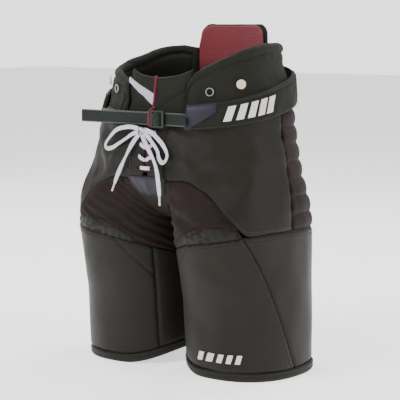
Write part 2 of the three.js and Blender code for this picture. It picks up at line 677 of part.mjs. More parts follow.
// A closed profile of [distance out, share of height] carried round the waist.
function sweptProfile(side, from, to, profile, steps) {
  const positions = [];
  for (let i = 0; i <= steps; i += 1) {
    const degrees = mix(from, to, i / steps);
    for (const [out, share] of profile) positions.push(...onSide(side, beltPoint(degrees, out, share)));
  }
  const count = profile.length;
  const faces = [];
  for (let i = 0; i < steps; i += 1) {
    for (let j = 0; j < count; j += 1) {
      const a = i * count + j;
      const b = i * count + ((j + 1) % count);
      faces.push(a, b, b + count, a, b + count, a + count);
    }
  }
  const outline = profile.map(([out, share]) => new THREE.Vector2(out, share * BELT_HALF));
  for (const [a, b, c] of THREE.ShapeUtils.triangulateShape(outline, [])) {
    const last = steps * count;
    const turned = THREE.ShapeUtils.isClockWise(outline);
    if (turned) faces.push(a, b, c, last + a, last + c, last + b);
    else faces.push(c, b, a, last + a, last + b, last + c);
  }
  return facingOut(positions, faces);
}

function buildStrap() {
  const { left, right, rim, thick, bar, gap, corner, clear } = BUCKLE;
  const innerFace = TAIL_Y + WEBBING_THICK;

  // The strap from the right cover, round the front to the buckle.
  const [cx, cy] = STRAP_CENTRE;
  const angleAt = (x) => -Math.acos((x - cx) / STRAP_RADIUS);
  const coverEnd = -beltPoint(RIGHT_COVER_FRONT, BELT_STANDOFF + BELT_THICK / 2, -0.5)[0];
  const from = angleAt((left + right) / 2);
  const to = angleAt(coverEnd + 5);
  const steps = 14;
  const curve = Array.from({ length: steps + 1 }, (_, i) => {
    const angle = mix(from, to, i / steps);
    return [cx + STRAP_RADIUS * Math.cos(angle), cy + STRAP_RADIUS * Math.sin(angle)];
  });
  add('strap_sewn_end', strip(curve, STRAP_Z, WEBBING, WEBBING_THICK), WEB);

  const tailInner = left + bar + STRAP_PULL;
  const tail = [[tailInner, innerFace], [STRAP_TAIL_END, innerFace]];
  add('strap_tail', strip(tail, STRAP_Z, WEBBING, WEBBING_THICK), WEB);

  // The fixed end of the strap, from the buckle's far bar to the left cover.
  const coverFront = beltPoint(LEFT_COVER_FRONT, BELT_STANDOFF + BELT_THICK, 0)[0];
  const anchor = [[coverFront - 2 * GAP, innerFace], [tailInner + 2, innerFace]];
  add('strap_anchor', strip(anchor, STRAP_Z, WEBBING, WEBBING_THICK), WEB);

  // The ladder buckle: a rounded frame with two slots, standing in front of the strap.
  const frame = new THREE.Shape();
  const half = WEBBING / 2 + clear + rim;
  frame.moveTo(right, -half);
  frame.lineTo(right, half);
  frame.absarc(left + corner, half - corner, corner, Math.PI / 2, Math.PI, false);
  frame.absarc(left + corner, -half + corner, corner, Math.PI, 1.5 * Math.PI, false);
  const midBar = [left + bar + BUCKLE.slot, left + bar + BUCKLE.slot + BUCKLE.middle];
  const slot = (low, high) => {
    const tool = new THREE.BoxGeometry(high - low, WEBBING + 2 * clear, 3 * thick);
    return tool.translate((low + high) / 2, 0, thick / 2);
  };
  const block = new THREE.ExtrudeGeometry(frame, { depth: thick, bevelEnabled: false, curveSegments: 4 });
  const buckle = cut(block, [slot(left + bar, midBar[0]), slot(midBar[1], right - bar)]);
  buckle.rotateX(Math.PI / 2);
  const ladder = add('ladder_buckle', buckle, PLASTIC);
  ladder.position.set(0, TAIL_Y - gap, STRAP_Z);
}

for (const side of ['left', 'right']) {
  buildLeg(side);
  buildStretchPanel(side);
  buildHips(side);
}
buildMiddle();
buildLacing();
buildBow();
buildPads();
buildBelly();
buildHardware();
buildCovers();
buildStrap();
pants.position.y = SETBACK;

export default pants;
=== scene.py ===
"""Ice-hockey pants: sewn panels, pads, belt, lacing and strap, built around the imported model."""

import bmesh
import bpy
import numpy as np
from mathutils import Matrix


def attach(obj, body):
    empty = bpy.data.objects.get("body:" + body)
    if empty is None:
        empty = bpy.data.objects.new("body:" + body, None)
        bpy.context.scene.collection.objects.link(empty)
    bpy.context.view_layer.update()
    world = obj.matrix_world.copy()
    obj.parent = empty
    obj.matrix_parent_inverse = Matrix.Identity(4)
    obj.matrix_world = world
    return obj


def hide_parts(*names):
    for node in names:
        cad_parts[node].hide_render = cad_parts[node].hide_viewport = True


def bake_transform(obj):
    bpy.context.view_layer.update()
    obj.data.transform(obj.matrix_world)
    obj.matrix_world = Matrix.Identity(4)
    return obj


bl_info = {
    "name": "Hockey Pants",
    "version": (1, 0, 0),
    "blender": (4, 5, 0),
    "location": "View3D > Sidebar > Hockey Pants",
    "description": "Builds padded ice-hockey pants panel by panel",
    "category": "Add Mesh",
}

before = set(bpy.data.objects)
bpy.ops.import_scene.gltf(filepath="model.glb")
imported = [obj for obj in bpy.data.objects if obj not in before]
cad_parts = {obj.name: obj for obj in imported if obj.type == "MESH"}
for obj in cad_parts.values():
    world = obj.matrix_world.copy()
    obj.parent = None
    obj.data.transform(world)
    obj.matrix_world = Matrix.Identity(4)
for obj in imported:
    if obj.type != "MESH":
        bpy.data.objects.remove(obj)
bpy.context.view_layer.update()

# ------------------------------------------------------------------ sizes in millimetres
# Each station is [height, centre x, centre y, half width, half depth] of an outline.
LEG_STATIONS = np.array([
    [0, 105, 0, 96, 104],
    [120, 104, -6, 96, 111],
    [230, 102, -16, 98, 122],
    [330, 101, -16, 98, 124],
], float)
HIP_STATIONS = np.array([
    [230, 0, -14, 203, 132],
    [300, 0, -12, 192, 130],
    [350, 0, -10, 181, 129],
    [400, 0, -5, 169, 124],
    [440, 0, 0, 160, 117],
    [500, 0, 3, 155, 112],
    [570, 0, 6, 158, 114],
], float)
OUTLINE_POWER = 2.3  # 2 is an ellipse, more is squarer
CROTCH_Z, RISE_TOP_Z = 250, 330  # a leg's ring becomes half of the hips between these heights
SIDE_SHARE = 0.094  # how far the outline's parameter is drawn towards the side
THIGH_GIRTH = 560  # one turn of u on the unrolled cloth
SETBACK = 9.8  # from the outlines' zero to the middle of the finished depth
FLY_HALF, FLY_LOW_Z, FLY_TOP_Z = 36, 322, 424
CROTCH_HALF, REAR_HALF = 8, 11
BELT_Z, BELT_SLOPE, BELT_HALF, BELT_FLARE = 443.5, 0.24, 24, 0.032
LEFT_COVER_FRONT, RIGHT_COVER_FRONT, COVER_BACK = -70.5, -38, 89.8
PAD_FRONT, PAD_BACK, PAD_THICK = -72, 64, 17  # the first two in degrees round the waist
SPINE_EDGE, SPINE_TOP_Z, SPINE_THICK = 57, 562, 9
BELLY_HALF, BELLY_LOW_Z, BELLY_TOP_Z, BELLY_RISE = 64, 430, 480, 12
BELLY_TUCK = 22  # the belly panel goes this far down behind the belt
WEBBING, STRAP_Z, TAIL_Y = 20, 413.5, -135.2
STRAP_X, STRAP_Y, STRAP_RADIUS = -16, 62.5, 194  # the arc of the strap's sewn end
WEBBING_SINK = 0.8  # the webbing's middle lies this far inside its solid's face
SELVEDGE_RISE, SELVEDGE_RADIUS = 9.2, 1.1
CLOTH_THICK = 1.6  # outer fabric with its thin foam
DEEPEST_DIP = -3.2  # cloth stays above the guards beneath it
HEM_BAND, HEM_RISE, HEM_RISE_START = 14, 24, 0.55
CLOTH_FRAMES = 20
# Seams that stand upright, as u: 0 and 1 at the inner thigh, 0.5 at the outer side.
INNER_FRONT_U, HIP_SEAM_U, BACK_SEAM_U, PLEAT_END_U, INNER_BACK_U = 0.11, 0.5, 0.64, 0.8, 0.89
GATHER_FROM_U, GATHER_TO_U = 0.155, 0.355

# Stage, in metres: the camera looks from the wearer's front left.
CAMERA_AZIMUTH, CAMERA_ELEVATION = np.radians(38), np.radians(7)
CAMERA_DISTANCE, CAMERA_LENS, CAMERA_TARGET_Z = 2.4, 129, 0.270
SOFT_LIGHT, WALL_LIGHT, FLOOR_GLOW, FLOOR_HALF = 0.5, 2.2, 1.1, 12.0
# Each lamp is [name, azimuth, elevation, distance, size, watts].
LAMPS = (("key_lamp", -20, 45, 2.6, 1.2, 60), ("fill_lamp", 95, 25, 2.8, 1.4, 40),
         ("back_lamp", 170, 50, 2.6, 1.4, 50), ("far_lamp", -110, 35, 2.8, 1.2, 30))

# The lace's routes, away from the knot.
KNOT_AT = (-7, -139.1, 393)
BOW = {
    "right_lace_loop": [
        (-14.9, -139.9, 396.9), (-29, -139.5, 399), (-45, -138, 398), (-66, -134, 393),
        (-84, -131, 380), (-95, -129, 368), (-92, -129, 361), (-79, -130.5, 363),
        (-62, -133.5, 371), (-44, -137, 380), (-30, -140, 387), (-15.2, -140.5, 392.2),
    ],
    "right_lace_tail": [
        (-13.2, -141.2, 387.7), (-23, -143, 376), (-34, -144.5, 359), (-48, -145, 335),
        (-58, -145, 316), (-62, -145, 307),
    ],
    "left_lace_loop": [
        (0.8, -141.2, 395.6), (15, -143, 392), (27, -144, 384), (39, -145, 374),
        (48, -146, 361), (47, -147, 351), (40, -147.5, 346), (34, -148, 352),
        (30, -147.5, 364), (20, -147, 376), (0.3, -142.8, 391.2),
    ],
    "left_lace_tail": [
        (-4.3, -143.8, 387.2), (6, -149.5, 377), (15, -151.5, 366), (26, -153, 351),
        (33, -154, 336), (37, -154.5, 318), (39, -154.5, 301), (39.5, -154.5, 293),
    ],
}
LACE_ROWS = (335, 354, 373, 392)  # heights of the eyelets
EYELET_X = 14
BELT_BARS = (-47.0, -38.5, -30.5, -23.0, -16.0)  # degrees where the printed bars start


class HockeyPantsSizes(bpy.types.PropertyGroup):
    """Sizes that a user would change."""

    lace_width: bpy.props.FloatProperty(
        name="Lace width", description="Width of the flat lace",
        default=0.007, min=0.004, max=0.012, unit="LENGTH")
    cloth_step: bpy.props.FloatProperty(
        name="Cloth step", description="Distance between the points of a sewn panel",
        default=0.0026, min=0.0015, max=0.01, unit="LENGTH")
    pleat_pitch: bpy.props.FloatProperty(
        name="Pleat pitch", description="Height of one pleat of the stretch back",
        default=0.028, min=0.015, max=0.05, unit="LENGTH")
    pleat_depth: bpy.props.FloatProperty(
        name="Pleat depth", description="How far a pleat stands out",
        default=0.005, min=0.0, max=0.01, unit="LENGTH")


def hex_colour(text):
    """A linear colour from its sRGB hex value."""
    channels = np.array([int(text[i:i + 2], 16) for i in (0, 2, 4)]) / 255
    linear = np.where(channels <= 0.04045, channels / 12.92, ((channels + 0.055) / 1.055) ** 2.4)
    return (*linear.tolist(), 1.0)


def colour_property(label, text):
    """A colour setting with its default."""
    return bpy.props.FloatVectorProperty(
        name=label, description=f"Colour of the {label.lower()}", subtype="COLOR", size=4,
        min=0, max=1, default=hex_colour(text))


class HockeyPantsColours(bpy.types.PropertyGroup):
    """Colours that a user would change."""

    shell: colour_property("Nylon shell", "23211c")
    stretch: colour_property("Stretch knit", "201614")
    satin: colour_property("Satin trim", "2c2833")
    padding: colour_property("Pad cover", "20201b")
    webbing: colour_property("Webbing", "161c18")
    mesh: colour_property("Red mesh", "7d0d20")
    piping: colour_property("Red piping", "6a1530")
    lace: colour_property("Lace", "dddce6")
    mark: colour_property("Printed mark", "d8d4cc")


# ------------------------------------------------------------------ outlines
def clamp01(value):
    """The value, held between 0 and 1."""
    return np.clip(value, 0.0, 1.0)


def smooth(t):
    """An S from 0 to 1 that is level at both ends: 3 t squared less 2 t cubed."""
    return t * t * (3 - 2 * t)


def mix(a, b, t):
    """A straight line from a, at t 0, to b, at t 1."""
    return a + (b - a) * t


def station(table, z):
    """The outline's centre and half sizes at each height, in a straight line between stations."""
    row = np.clip(np.searchsorted(table[:, 0], z) - 1, 0, len(table) - 2)
    share = (z - table[row, 0]) / (table[row + 1, 0] - table[row, 0])
    return np.moveaxis(mix(table[row], table[row + 1], share[..., None]), -1, 0)[1:]


def outline(table, degrees, z, inset):
    """A squared ellipse: each half size times the cosine or sine to the power 2 / OUTLINE_POWER."""
    degrees, z = np.broadcast_arrays(np.asarray(degrees, float), np.asarray(z, float))
    cx, cy, half_width, half_depth = station(table, z)
    c, s = np.cos(np.radians(degrees)), np.sin(np.radians(degrees))
    power = 2 / OUTLINE_POWER
    x = cx + (half_width - inset) * np.sign(c) * np.abs(c) ** power
    y = cy + (half_depth - inset) * np.sign(s) * np.abs(s) ** power
    return np.stack([x, y, z], -1)


def skin(u, z, inset=0.0):
    """The left half of the garment: a leg's ring low down and half of the hips high up, mixed
    between the crotch and the rise, fastest near the middle."""
    u, z = np.broadcast_arrays(np.asarray(u, float), np.asarray(z, float))
    around = np.mod(u, 1.0)
    leg = outline(LEG_STATIONS, -180 + 360 * around, z, inset)
    t = clamp01((z - CROTCH_Z) / (RISE_TOP_Z - CROTCH_Z))
    share = around - SIDE_SHARE * np.sin(2 * np.pi * around)
    hip = outline(HIP_STATIONS, -90 + 180 * share, z, inset)
    middle = np.abs(2 * around - 1) ** 4
    weight = (1 - middle) * smooth(t) + middle * np.sqrt(t * (2 - t))
    return mix(leg, hip, weight[..., None])


def parameter_at(x, z, start):
    """Where the left half's outline passes x, on the front (start 0) or the back (start 1),
    found by halving the interval 30 times."""
    x, z = np.broadcast_arrays(np.asarray(x, float), np.asarray(z, float))
    near, far = np.zeros(x.shape), np.full(x.shape, 0.25)
    for _ in range(30):
        half = (near + far) / 2
        short = skin(np.abs(start - half), z)[..., 0] < x
        near, far = np.where(short, half, near), np.where(short, far, half)
    return np.abs(start - far)


def middle_point(x, z, inset, start):
    """A point of the front or back at x, on either side of the middle."""
    x, z = np.broadcast_arrays(np.asarray(x, float), np.asarray(z, float))
    u = parameter_at(np.abs(x), z, start)
    return np.stack([x, skin(u, z, inset)[..., 1], z], -1)


def waist(degrees, z, inset=0.0):
    """A point on the outline of the hips and waist."""
    return outline(HIP_STATIONS, degrees, z, inset)


def belt_middle(y):
    """Height of the belt's middle line, which rises towards the back."""
    return BELT_Z + BELT_SLOPE * y


def shell_top(y):
    """Height of the outer cloth's top edge, hidden by the belt."""
    return belt_middle(y) + 4


def hem_low(u):
    """Height of the leg's lower edge: level, rising in an S towards the inner thigh."""
    inward = clamp01((np.abs(2 * np.mod(u, 1.0) - 1) - HEM_RISE_START) / (1 - HEM_RISE_START))
    return HEM_RISE * smooth(inward)


def hem_top(u):
    """Height of the hem band's upper edge."""
    return hem_low(u) + HEM_BAND


def crotch_half(z):
    """Half width of the middle strip in front, widening up to the fly."""
    return mix(CROTCH_HALF, FLY_HALF, clamp01((z - CROTCH_Z) / (FLY_LOW_Z - CROTCH_Z)))


def rear_half(z):
    """Half width of the middle strip behind, widening a little upwards."""
    return mix(CROTCH_HALF, REAR_HALF, clamp01((z - CROTCH_Z) / (RISE_TOP_Z - CROTCH_Z)))


# Edge of the middle strip on the front, as a table of u against height.
EDGE_HEIGHTS = np.linspace(CROTCH_Z, FLY_LOW_Z, 25)
FRONT_EDGE = parameter_at(crotch_half(EDGE_HEIGHTS) + 0.6, EDGE_HEIGHTS, 0)


def seam_z(u):
    """The seam round the thigh, lowest at the inner thigh."""
    return 182 + 56 * np.abs(np.sin(np.pi * u))


def diagonal(z):
    """The seam from the outer hem up to the front of the thigh, steeper at its top."""
    return 0.5 - 0.0005 * z - 0.045 * (z / 272) ** 6


STRETCH_CORNER = 0.318  # u where the stretch inset's top edge meets the diagonal seam


def stretch_line(u):
    """Top edge of the stretch inset: level, then falling in a curve, then down the diagonal."""
    return np.where(u < STRETCH_CORNER, 317 - 2900 * clamp01(u - 0.19) ** 2,
                    270 - 640 * (u - STRETCH_CORNER))


def hip_low(u):
    """Bottom of the front panel: along the stretch inset, then round the thigh, as a soft maximum
    of the two, which rounds the corner between them."""
    return 4 * np.logaddexp(stretch_line(u) / 4, (seam_z(u) + 0.3) / 4)


# ------------------------------------------------------------------ meshes
def grid(columns, rows):
    """Two arrays of shares from 0 to 1, along the columns and along the rows."""
    return np.meshgrid(np.linspace(0, 1, columns + 1), np.linspace(0, 1, rows + 1), indexing="ij")


def normals(points, ring=False):
    """Unit normals of a grid of points: the cross product of the differences along its two
    directions."""
    if ring:
        wrapped = np.concatenate([points[-2:-1], points, points[1:2]])
        along = np.gradient(wrapped, axis=0)[1:-1]
    else:
        along = np.gradient(points, axis=0)
    normal = np.cross(along, np.gradient(points, axis=1))
    return normal / np.maximum(np.linalg.norm(normal, axis=-1, keepdims=True), 1e-9)


def lengths(points, axis):
    """The distance travelled along one direction of a grid, from 0."""
    step = np.linalg.norm(np.diff(points, axis=axis), axis=-1)
    start = np.zeros_like(np.take(step, [0], axis=axis))
    return np.concatenate([start, np.cumsum(step, axis=axis)], axis=axis)


def merge_points(mesh):
    """Joins points that lie on each other, which closes poles and ends."""
    work = bmesh.new()
    work.from_mesh(mesh)
    bmesh.ops.remove_doubles(work, verts=work.verts, dist=1e-6)
    work.to_mesh(mesh)
    work.free()


def make_object(name, points, quads, uv=None, look=None, side="left", merge=False):
    """An object from points in millimetres and faces of 4 corners, mirrored for the right side,
    turned so that its faces point outwards."""
    points = np.array(points, float)
    if side == "right":
        points[:, 0] *= -1
    a, b, c, d = (points[quads[:, k]] for k in range(4))
    volume = np.einsum("ij,ij->", a, np.cross(b, c)) + np.einsum("ij,ij->", a, np.cross(c, d))
    if volume < 0:
        quads = quads[:, ::-1]
        uv = None if uv is None else uv[:, ::-1]
    points = (points + (0, SETBACK, 0)) * 0.001
    mesh = bpy.data.meshes.new(name)
    mesh.from_pydata(points.tolist(), [], quads.tolist())
    if uv is not None:
        layer = mesh.uv_layers.new(name="cloth")
        layer.data.foreach_set("uv", (uv * 0.001).astype(np.float32).ravel())
    if merge:
        merge_points(mesh)
    mesh.polygons.foreach_set("use_smooth", np.ones(len(mesh.polygons), bool))
    mesh.update()
    made = bpy.data.objects.new(name, mesh)
    bpy.context.scene.collection.objects.link(made)
    if look:
        mesh.materials.append(look)
    return made


def closed_sheet(name, outer, inner, look, side="left", ring=False):
    """A closed solid from an outer and an inner grid. The map holds the real distances along the
    grid's two directions. A ring's last column lies on its first."""
    columns, rows = outer.shape[:2]
    kept = columns - 1 if ring else columns
    points = np.concatenate([outer[:kept].reshape(-1, 3), inner[:kept].reshape(-1, 3)])
    flat = np.stack([lengths(outer, 0), lengths(outer, 1)], -1)

    def corners(i, j, layer):
        i, j, layer = np.broadcast_arrays(i, j, layer)
        return layer * kept * rows + (i % kept) * rows + j, flat[i, j]

    def quads(*loop):
        found = [corners(*corner) for corner in loop]
        index = np.stack([f[0] for f in found], -1).reshape(-1, 4)
        return index, np.stack([f[1] for f in found], -2).reshape(-1, 4, 2)

    i, j = np.meshgrid(np.arange(columns - 1), np.arange(rows - 1), indexing="ij")
    ends, top = np.arange(columns - 1), rows - 1
    parts = [
        quads((i, j, 0), (i + 1, j, 0), (i + 1, j + 1, 0), (i, j + 1, 0)),
        quads((i, j, 1), (i, j + 1, 1), (i + 1, j + 1, 1), (i + 1, j, 1)),
        quads((ends, 0, 0), (ends, 0, 1), (ends + 1, 0, 1), (ends + 1, 0, 0)),
        quads((ends, top, 0), (ends + 1, top, 0), (ends + 1, top, 1), (ends, top, 1)),
    ]
    if not ring:
        up, last = np.arange(rows - 1), columns - 1
        parts.append(quads((0, up, 0), (0, up + 1, 0), (0, up + 1, 1), (0, up, 1)))
        parts.append(quads((last, up, 0), (last, up, 1), (last, up + 1, 1), (last, up + 1, 0)))
    faces = np.concatenate([part[0] for part in parts])
    uv = np.concatenate([part[1] for part in parts])
    return make_object(name, points, faces, uv, look, side)


def swept(name, path, section, facing, look, side="left", closed=False, turn=0.0):
    """A section carried along a path: each ring is the section's first axis across the path and
    its second axis along the facing direction made square to the path, turned by an angle. An
    open path's ends are closed with a ring drawn in to a point."""
    path, section = np.asarray(path, float), np.asarray(section, float)
    if closed:
        tangent = np.roll(path, -1, 0) - np.roll(path, 1, 0)
    else:
        tangent = np.gradient(path, axis=0)
    tangent /= np.linalg.norm(tangent, axis=1, keepdims=True)
    facing = np.broadcast_to(np.asarray(facing, float), path.shape)
    out = facing - tangent * np.sum(facing * tangent, axis=1, keepdims=True)
    out /= np.maximum(np.linalg.norm(out, axis=1, keepdims=True), 1e-9)
    across = np.cross(tangent, out)
    turn = np.broadcast_to(np.asarray(turn, float), (len(path),))[:, None]
    across, out = (np.cos(turn) * across + np.sin(turn) * out,
                   np.cos(turn) * out - np.sin(turn) * across)
    sizes = np.ones(len(path))
    if not closed:
        path = np.concatenate([path[:1], path, path[-1:]])
        across, out = (np.concatenate([v[:1], v, v[-1:]]) for v in (across, out))
        sizes = np.concatenate([[0.0], sizes, [0.0]])
    scaled = section[None] * sizes[:, None, None]
    rings = path[:, None] + across[:, None] * scaled[..., :1] + out[:, None] * scaled[..., 1:2]
    count, around = rings.shape[:2]
    spans = count if closed else count - 1
    i, j = np.meshgrid(np.arange(spans), np.arange(around), indexing="ij")
    corners = [(i, j), (i + 1, j), (i + 1, j + 1), (i, j + 1)]
    quads = np.stack([(a % count) * around + b % around for a, b in corners], -1).reshape(-1, 4)
    along = np.concatenate([[0], np.cumsum(np.linalg.norm(np.diff(path, axis=0), axis=1))])
    along = np.append(along, along[-1] + 1)
    rim = np.linalg.norm(section - np.roll(section, 1, 0), axis=1)
    rim = np.append(np.cumsum(rim) - rim[0], rim.sum())
    uv = np.stack([np.stack([rim[b], along[a]], -1) for a, b in corners], -2).reshape(-1, 4, 2)
    return make_object(name, rings.reshape(-1, 3), quads, uv, look, side, merge=not closed)


def revolved(name, profile, centre, axis, look, side="left", around=32):
    """A profile of [radius, height] turned about an axis through a centre."""
    profile = np.asarray(profile, float)
    axis = np.asarray(axis, float) / np.linalg.norm(axis)
    first = np.cross(axis, (0, 0, 1) if abs(axis[2]) < 0.9 else (1, 0, 0))
    first /= np.linalg.norm(first)
    second = np.cross(axis, first)
    angle = np.linspace(0, 2 * np.pi, around, endpoint=False)
    spoke = np.cos(angle)[:, None] * first + np.sin(angle)[:, None] * second
    points = np.asarray(centre, float) + spoke[:, None] * profile[None, :, :1] \
        + axis * profile[None, :, 1:2]
    rows = len(profile)
    i, j = np.meshgrid(np.arange(around), np.arange(rows), indexing="ij")
    corners = [(i, j), (i + 1, j), (i + 1, j + 1), (i, j + 1)]
    quads = np.stack([(a % around) * rows + b % rows for a, b in corners], -1).reshape(-1, 4)
    return make_object(name, points.reshape(-1, 3), quads, None, look, side)


def curve_through(points, spacing):
    """A Catmull-Rom curve through the points, sampled at even distances."""
    points = np.asarray(points, float)
    ends = np.concatenate([[2 * points[0] - points[1]], points, [2 * points[-1] - points[-2]]])
    t = np.linspace(0, 1, 24, endpoint=False)[:, None]
    a, b, c, d = (ends[k:k + len(points) - 1][:, None] for k in range(4))
    fine = 0.5 * (2 * b + (c - a) * t + (2 * a - 5 * b + 4 * c - d) * t ** 2
                  + (3 * b - a - 3 * c + d) * t ** 3)
    fine = np.concatenate([fine.reshape(-1, 3), points[-1:]])
    travelled = np.concatenate([[0], np.cumsum(np.linalg.norm(np.diff(fine, axis=0), axis=1))])
    even = np.linspace(0, travelled[-1], max(3, int(travelled[-1] / spacing) + 1))
    return np.stack([np.interp(even, travelled, fine[:, k]) for k in range(3)], -1)


def ripples(points, size, seed, stretch=(1, 1, 1), waves=9):
    """Soft unevenness from -1 to 1: the mean of cosines that run in random directions, with
    wavelengths near one size."""
    random = np.random.default_rng(seed)
    ways = random.normal(size=(waves, 3))
    ways /= np.linalg.norm(ways, axis=1, keepdims=True)
    pitch = size * random.uniform(0.6, 1.6, waves)
    phase = random.uniform(0, 2 * np.pi, waves)
    scaled = points / np.asarray(stretch, float)
    return np.cos(scaled @ (ways.T * 2 * np.pi / pitch) + phase).mean(-1) * 1.7


def fold(u, z, start, end, width, height):
    """A soft ridge or valley: a bell curve of the distance from a line on the unrolled cloth,
    fading at its ends."""
    scale = np.array([THIGH_GIRTH, 1])
    a, b = np.array(start) * scale, np.array(end) * scale
    at = np.stack([u * THIGH_GIRTH, z], -1)
    way = b - a
    share = np.clip(((at - a) @ way) / (way @ way), 0, 1)
    distance = np.linalg.norm(at - (a + share[..., None] * way), axis=-1)
    return height * np.exp(-(distance / width) ** 2) * np.sin(np.pi * np.clip(share, 0.08, 0.92))


def seam_roll(distance, depth=2.0, width=3.2):
    """How far cloth turns in at a seam: a bell curve of the distance from it."""
    return -depth * np.exp(-(distance / width) ** 2)


def pucker(distance, along, pitch, size, seed):
    """Small gathers beside a seam, fading away from it."""
    drift = np.sin(along / 37 + seed) + np.sin(along / 53 + 2 * seed)
    return size * np.cos(2 * np.pi * along / pitch + 2 * drift) * np.exp(-distance / 8)


# ------------------------------------------------------------------ materials
def add_node(look, kind, inputs=None, **settings):
    """Adds one node to a material, with its settings, values and links."""
    made = look.node_tree.nodes.new(kind)
    for key, value in settings.items():
        setattr(made, key, value)
    for key, value in (inputs or {}).items():
        if isinstance(value, bpy.types.NodeSocket):
            look.node_tree.links.new(value, made.inputs[key])
        else:
            made.inputs[key].default_value = value
    return made


def new_look(name):
    """A new material with its output and shader, and the shader."""
    look = bpy.data.materials.new(name)
    look.use_nodes = True
    look.node_tree.nodes.clear()
    shader = add_node(look, "ShaderNodeBsdfPrincipled")
    add_node(look, "ShaderNodeOutputMaterial", {"Surface": shader.outputs[0]})
    return look, shader


def woven_look(name, colour, shade, thread, roughness, sheen, relief, slant=0.0, mottle=60.0):
    """Woven cloth: two crossed sets of bands at the thread spacing, in metres, for the weave, soft
    noise for the dye and for wear, and a fibre sheen."""
    look, shader = new_look(name)
    place = add_node(look, "ShaderNodeTexCoord")
    turned = add_node(look, "ShaderNodeMapping", {
        "Vector": place.outputs["UV"], "Rotation": (0, 0, slant)})
    sets = [add_node(look, "ShaderNodeTexWave", {
        "Vector": turned.outputs[0], "Scale": 0.314 / thread, "Distortion": 0.6,
        "Detail": 1.0}, bands_direction=way) for way in ("X", "Y")]
    weave = add_node(look, "ShaderNodeMath", {0: sets[0].outputs["Fac"], 1: sets[1].outputs["Fac"]},
                     operation="MULTIPLY")
    large = add_node(look, "ShaderNodeTexNoise", {
        "Vector": place.outputs["Object"], "Scale": 1000 / mottle, "Detail": 4.0,
        "Roughness": 0.55})
    fine = add_node(look, "ShaderNodeTexNoise", {
        "Vector": place.outputs["Object"], "Scale": 420.0, "Detail": 3.0})
    dye = add_node(look, "ShaderNodeMix", {
        "Factor": large.outputs["Fac"], 6: shade, 7: colour}, data_type="RGBA")
    amount = add_node(look, "ShaderNodeMapRange", {
        "Value": weave.outputs[0], "To Min": 0.0, "To Max": 0.3})
    threads = add_node(look, "ShaderNodeMix", {
        "Factor": amount.outputs[0], 6: dye.outputs[2],
        7: tuple(min(1.0, 1.5 * c) for c in colour[:3]) + (1.0,)}, data_type="RGBA")
    look.node_tree.links.new(threads.outputs[2], shader.inputs["Base Color"])
    rough = add_node(look, "ShaderNodeMapRange", {
        "Value": fine.outputs["Fac"], "To Min": roughness - 0.08, "To Max": roughness + 0.08})
    look.node_tree.links.new(rough.outputs[0], shader.inputs["Roughness"])
    height = add_node(look, "ShaderNodeMath", {
        0: weave.outputs[0], 1: fine.outputs["Fac"]}, operation="ADD")
    bump = add_node(look, "ShaderNodeBump", {
        "Height": height.outputs[0], "Strength": relief, "Distance": 0.0006})
    look.node_tree.links.new(bump.outputs[0], shader.inputs["Normal"])
    shader.inputs["Sheen Weight"].default_value = sheen
    shader.inputs["Sheen Roughness"].default_value = 0.45
    shader.inputs["Specular IOR Level"].default_value = 0.12
    return look


def darker(colour, share):
    """A linear colour with its channels cut to a share."""
    return tuple(channel * share for channel in colour[:3]) + (1.0,)


def nylon_twill(colours):
    """Tightly woven filament nylon with a calendered face: dark, smooth, with a broad soft sheen.
    Threads are about 0.5 mm apart, drawn at 1.1 mm so that they show."""
    return woven_look("nylon_twill", colours.shell, darker(colours.shell, 0.6), 0.0011, 0.46, 0.03,
                      0.25, slant=0.6)


def stretch_knit(colours):
    """Brushed polyester and elastane warp knit: matte, brownish, with fine vertical ribs, drawn at
    1.6 mm."""
    return woven_look("stretch_knit", colours.stretch, darker(colours.stretch, 0.7), 0.0016, 0.72,
                      0.05, 0.35, mottle=45.0)


def satin_polyester(colours):
    """Satin-woven polyester: long floats that give a smoother, bluish gloss."""
    return woven_look("satin_polyester", colours.satin, darker(colours.satin, 0.8), 0.0012, 0.38,
                      0.1, 0.15, slant=0.3)


def textured_nylon(colours):
    """Air-textured pack nylon over foam: matte, with a coarse plain weave of about 0.9 mm, drawn at
    1.3 mm."""
    return woven_look("textured_nylon", colours.padding, darker(colours.padding, 0.75), 0.0013,
                      0.72, 0.03, 0.4)


def polyester_webbing(colours):
    """Woven polyester webbing with ribs across it, drawn at 1.4 mm: half gloss."""
    return woven_look("polyester_webbing", colours.webbing, darker(colours.webbing, 0.7), 0.0014,
                      0.5, 0.15, 0.6)


def tricot_lining(colours):
    """Thin knitted lining: matte and nearly black."""
    return woven_look("tricot_lining", hex_colour("151211"), hex_colour("0e0c0c"), 0.0015, 0.85,
                      0.2, 0.3)


def red_piping(colours):
    """Woven cotton tape folded over a cord: dull crimson."""
    return woven_look("red_piping", colours.piping, darker(colours.piping, 0.75), 0.001, 0.65, 0.2,
                      0.3)


def cotton_lace(colours):
    """Flat braided cotton lace: white, matte, with a slanted braid of about 1.5 mm."""
    return woven_look("cotton_lace", colours.lace, hex_colour("b4b5c4"), 0.0013, 0.8, 0.3, 0.7,
                      slant=0.785, mottle=15.0)


def white_tape(colours):
    """Grosgrain ribbon: pale grey-lilac with cross ribs."""
    return woven_look("white_tape", hex_colour("c0becb"), hex_colour("9b9baa"), 0.0013, 0.6, 0.1,
                      0.4)


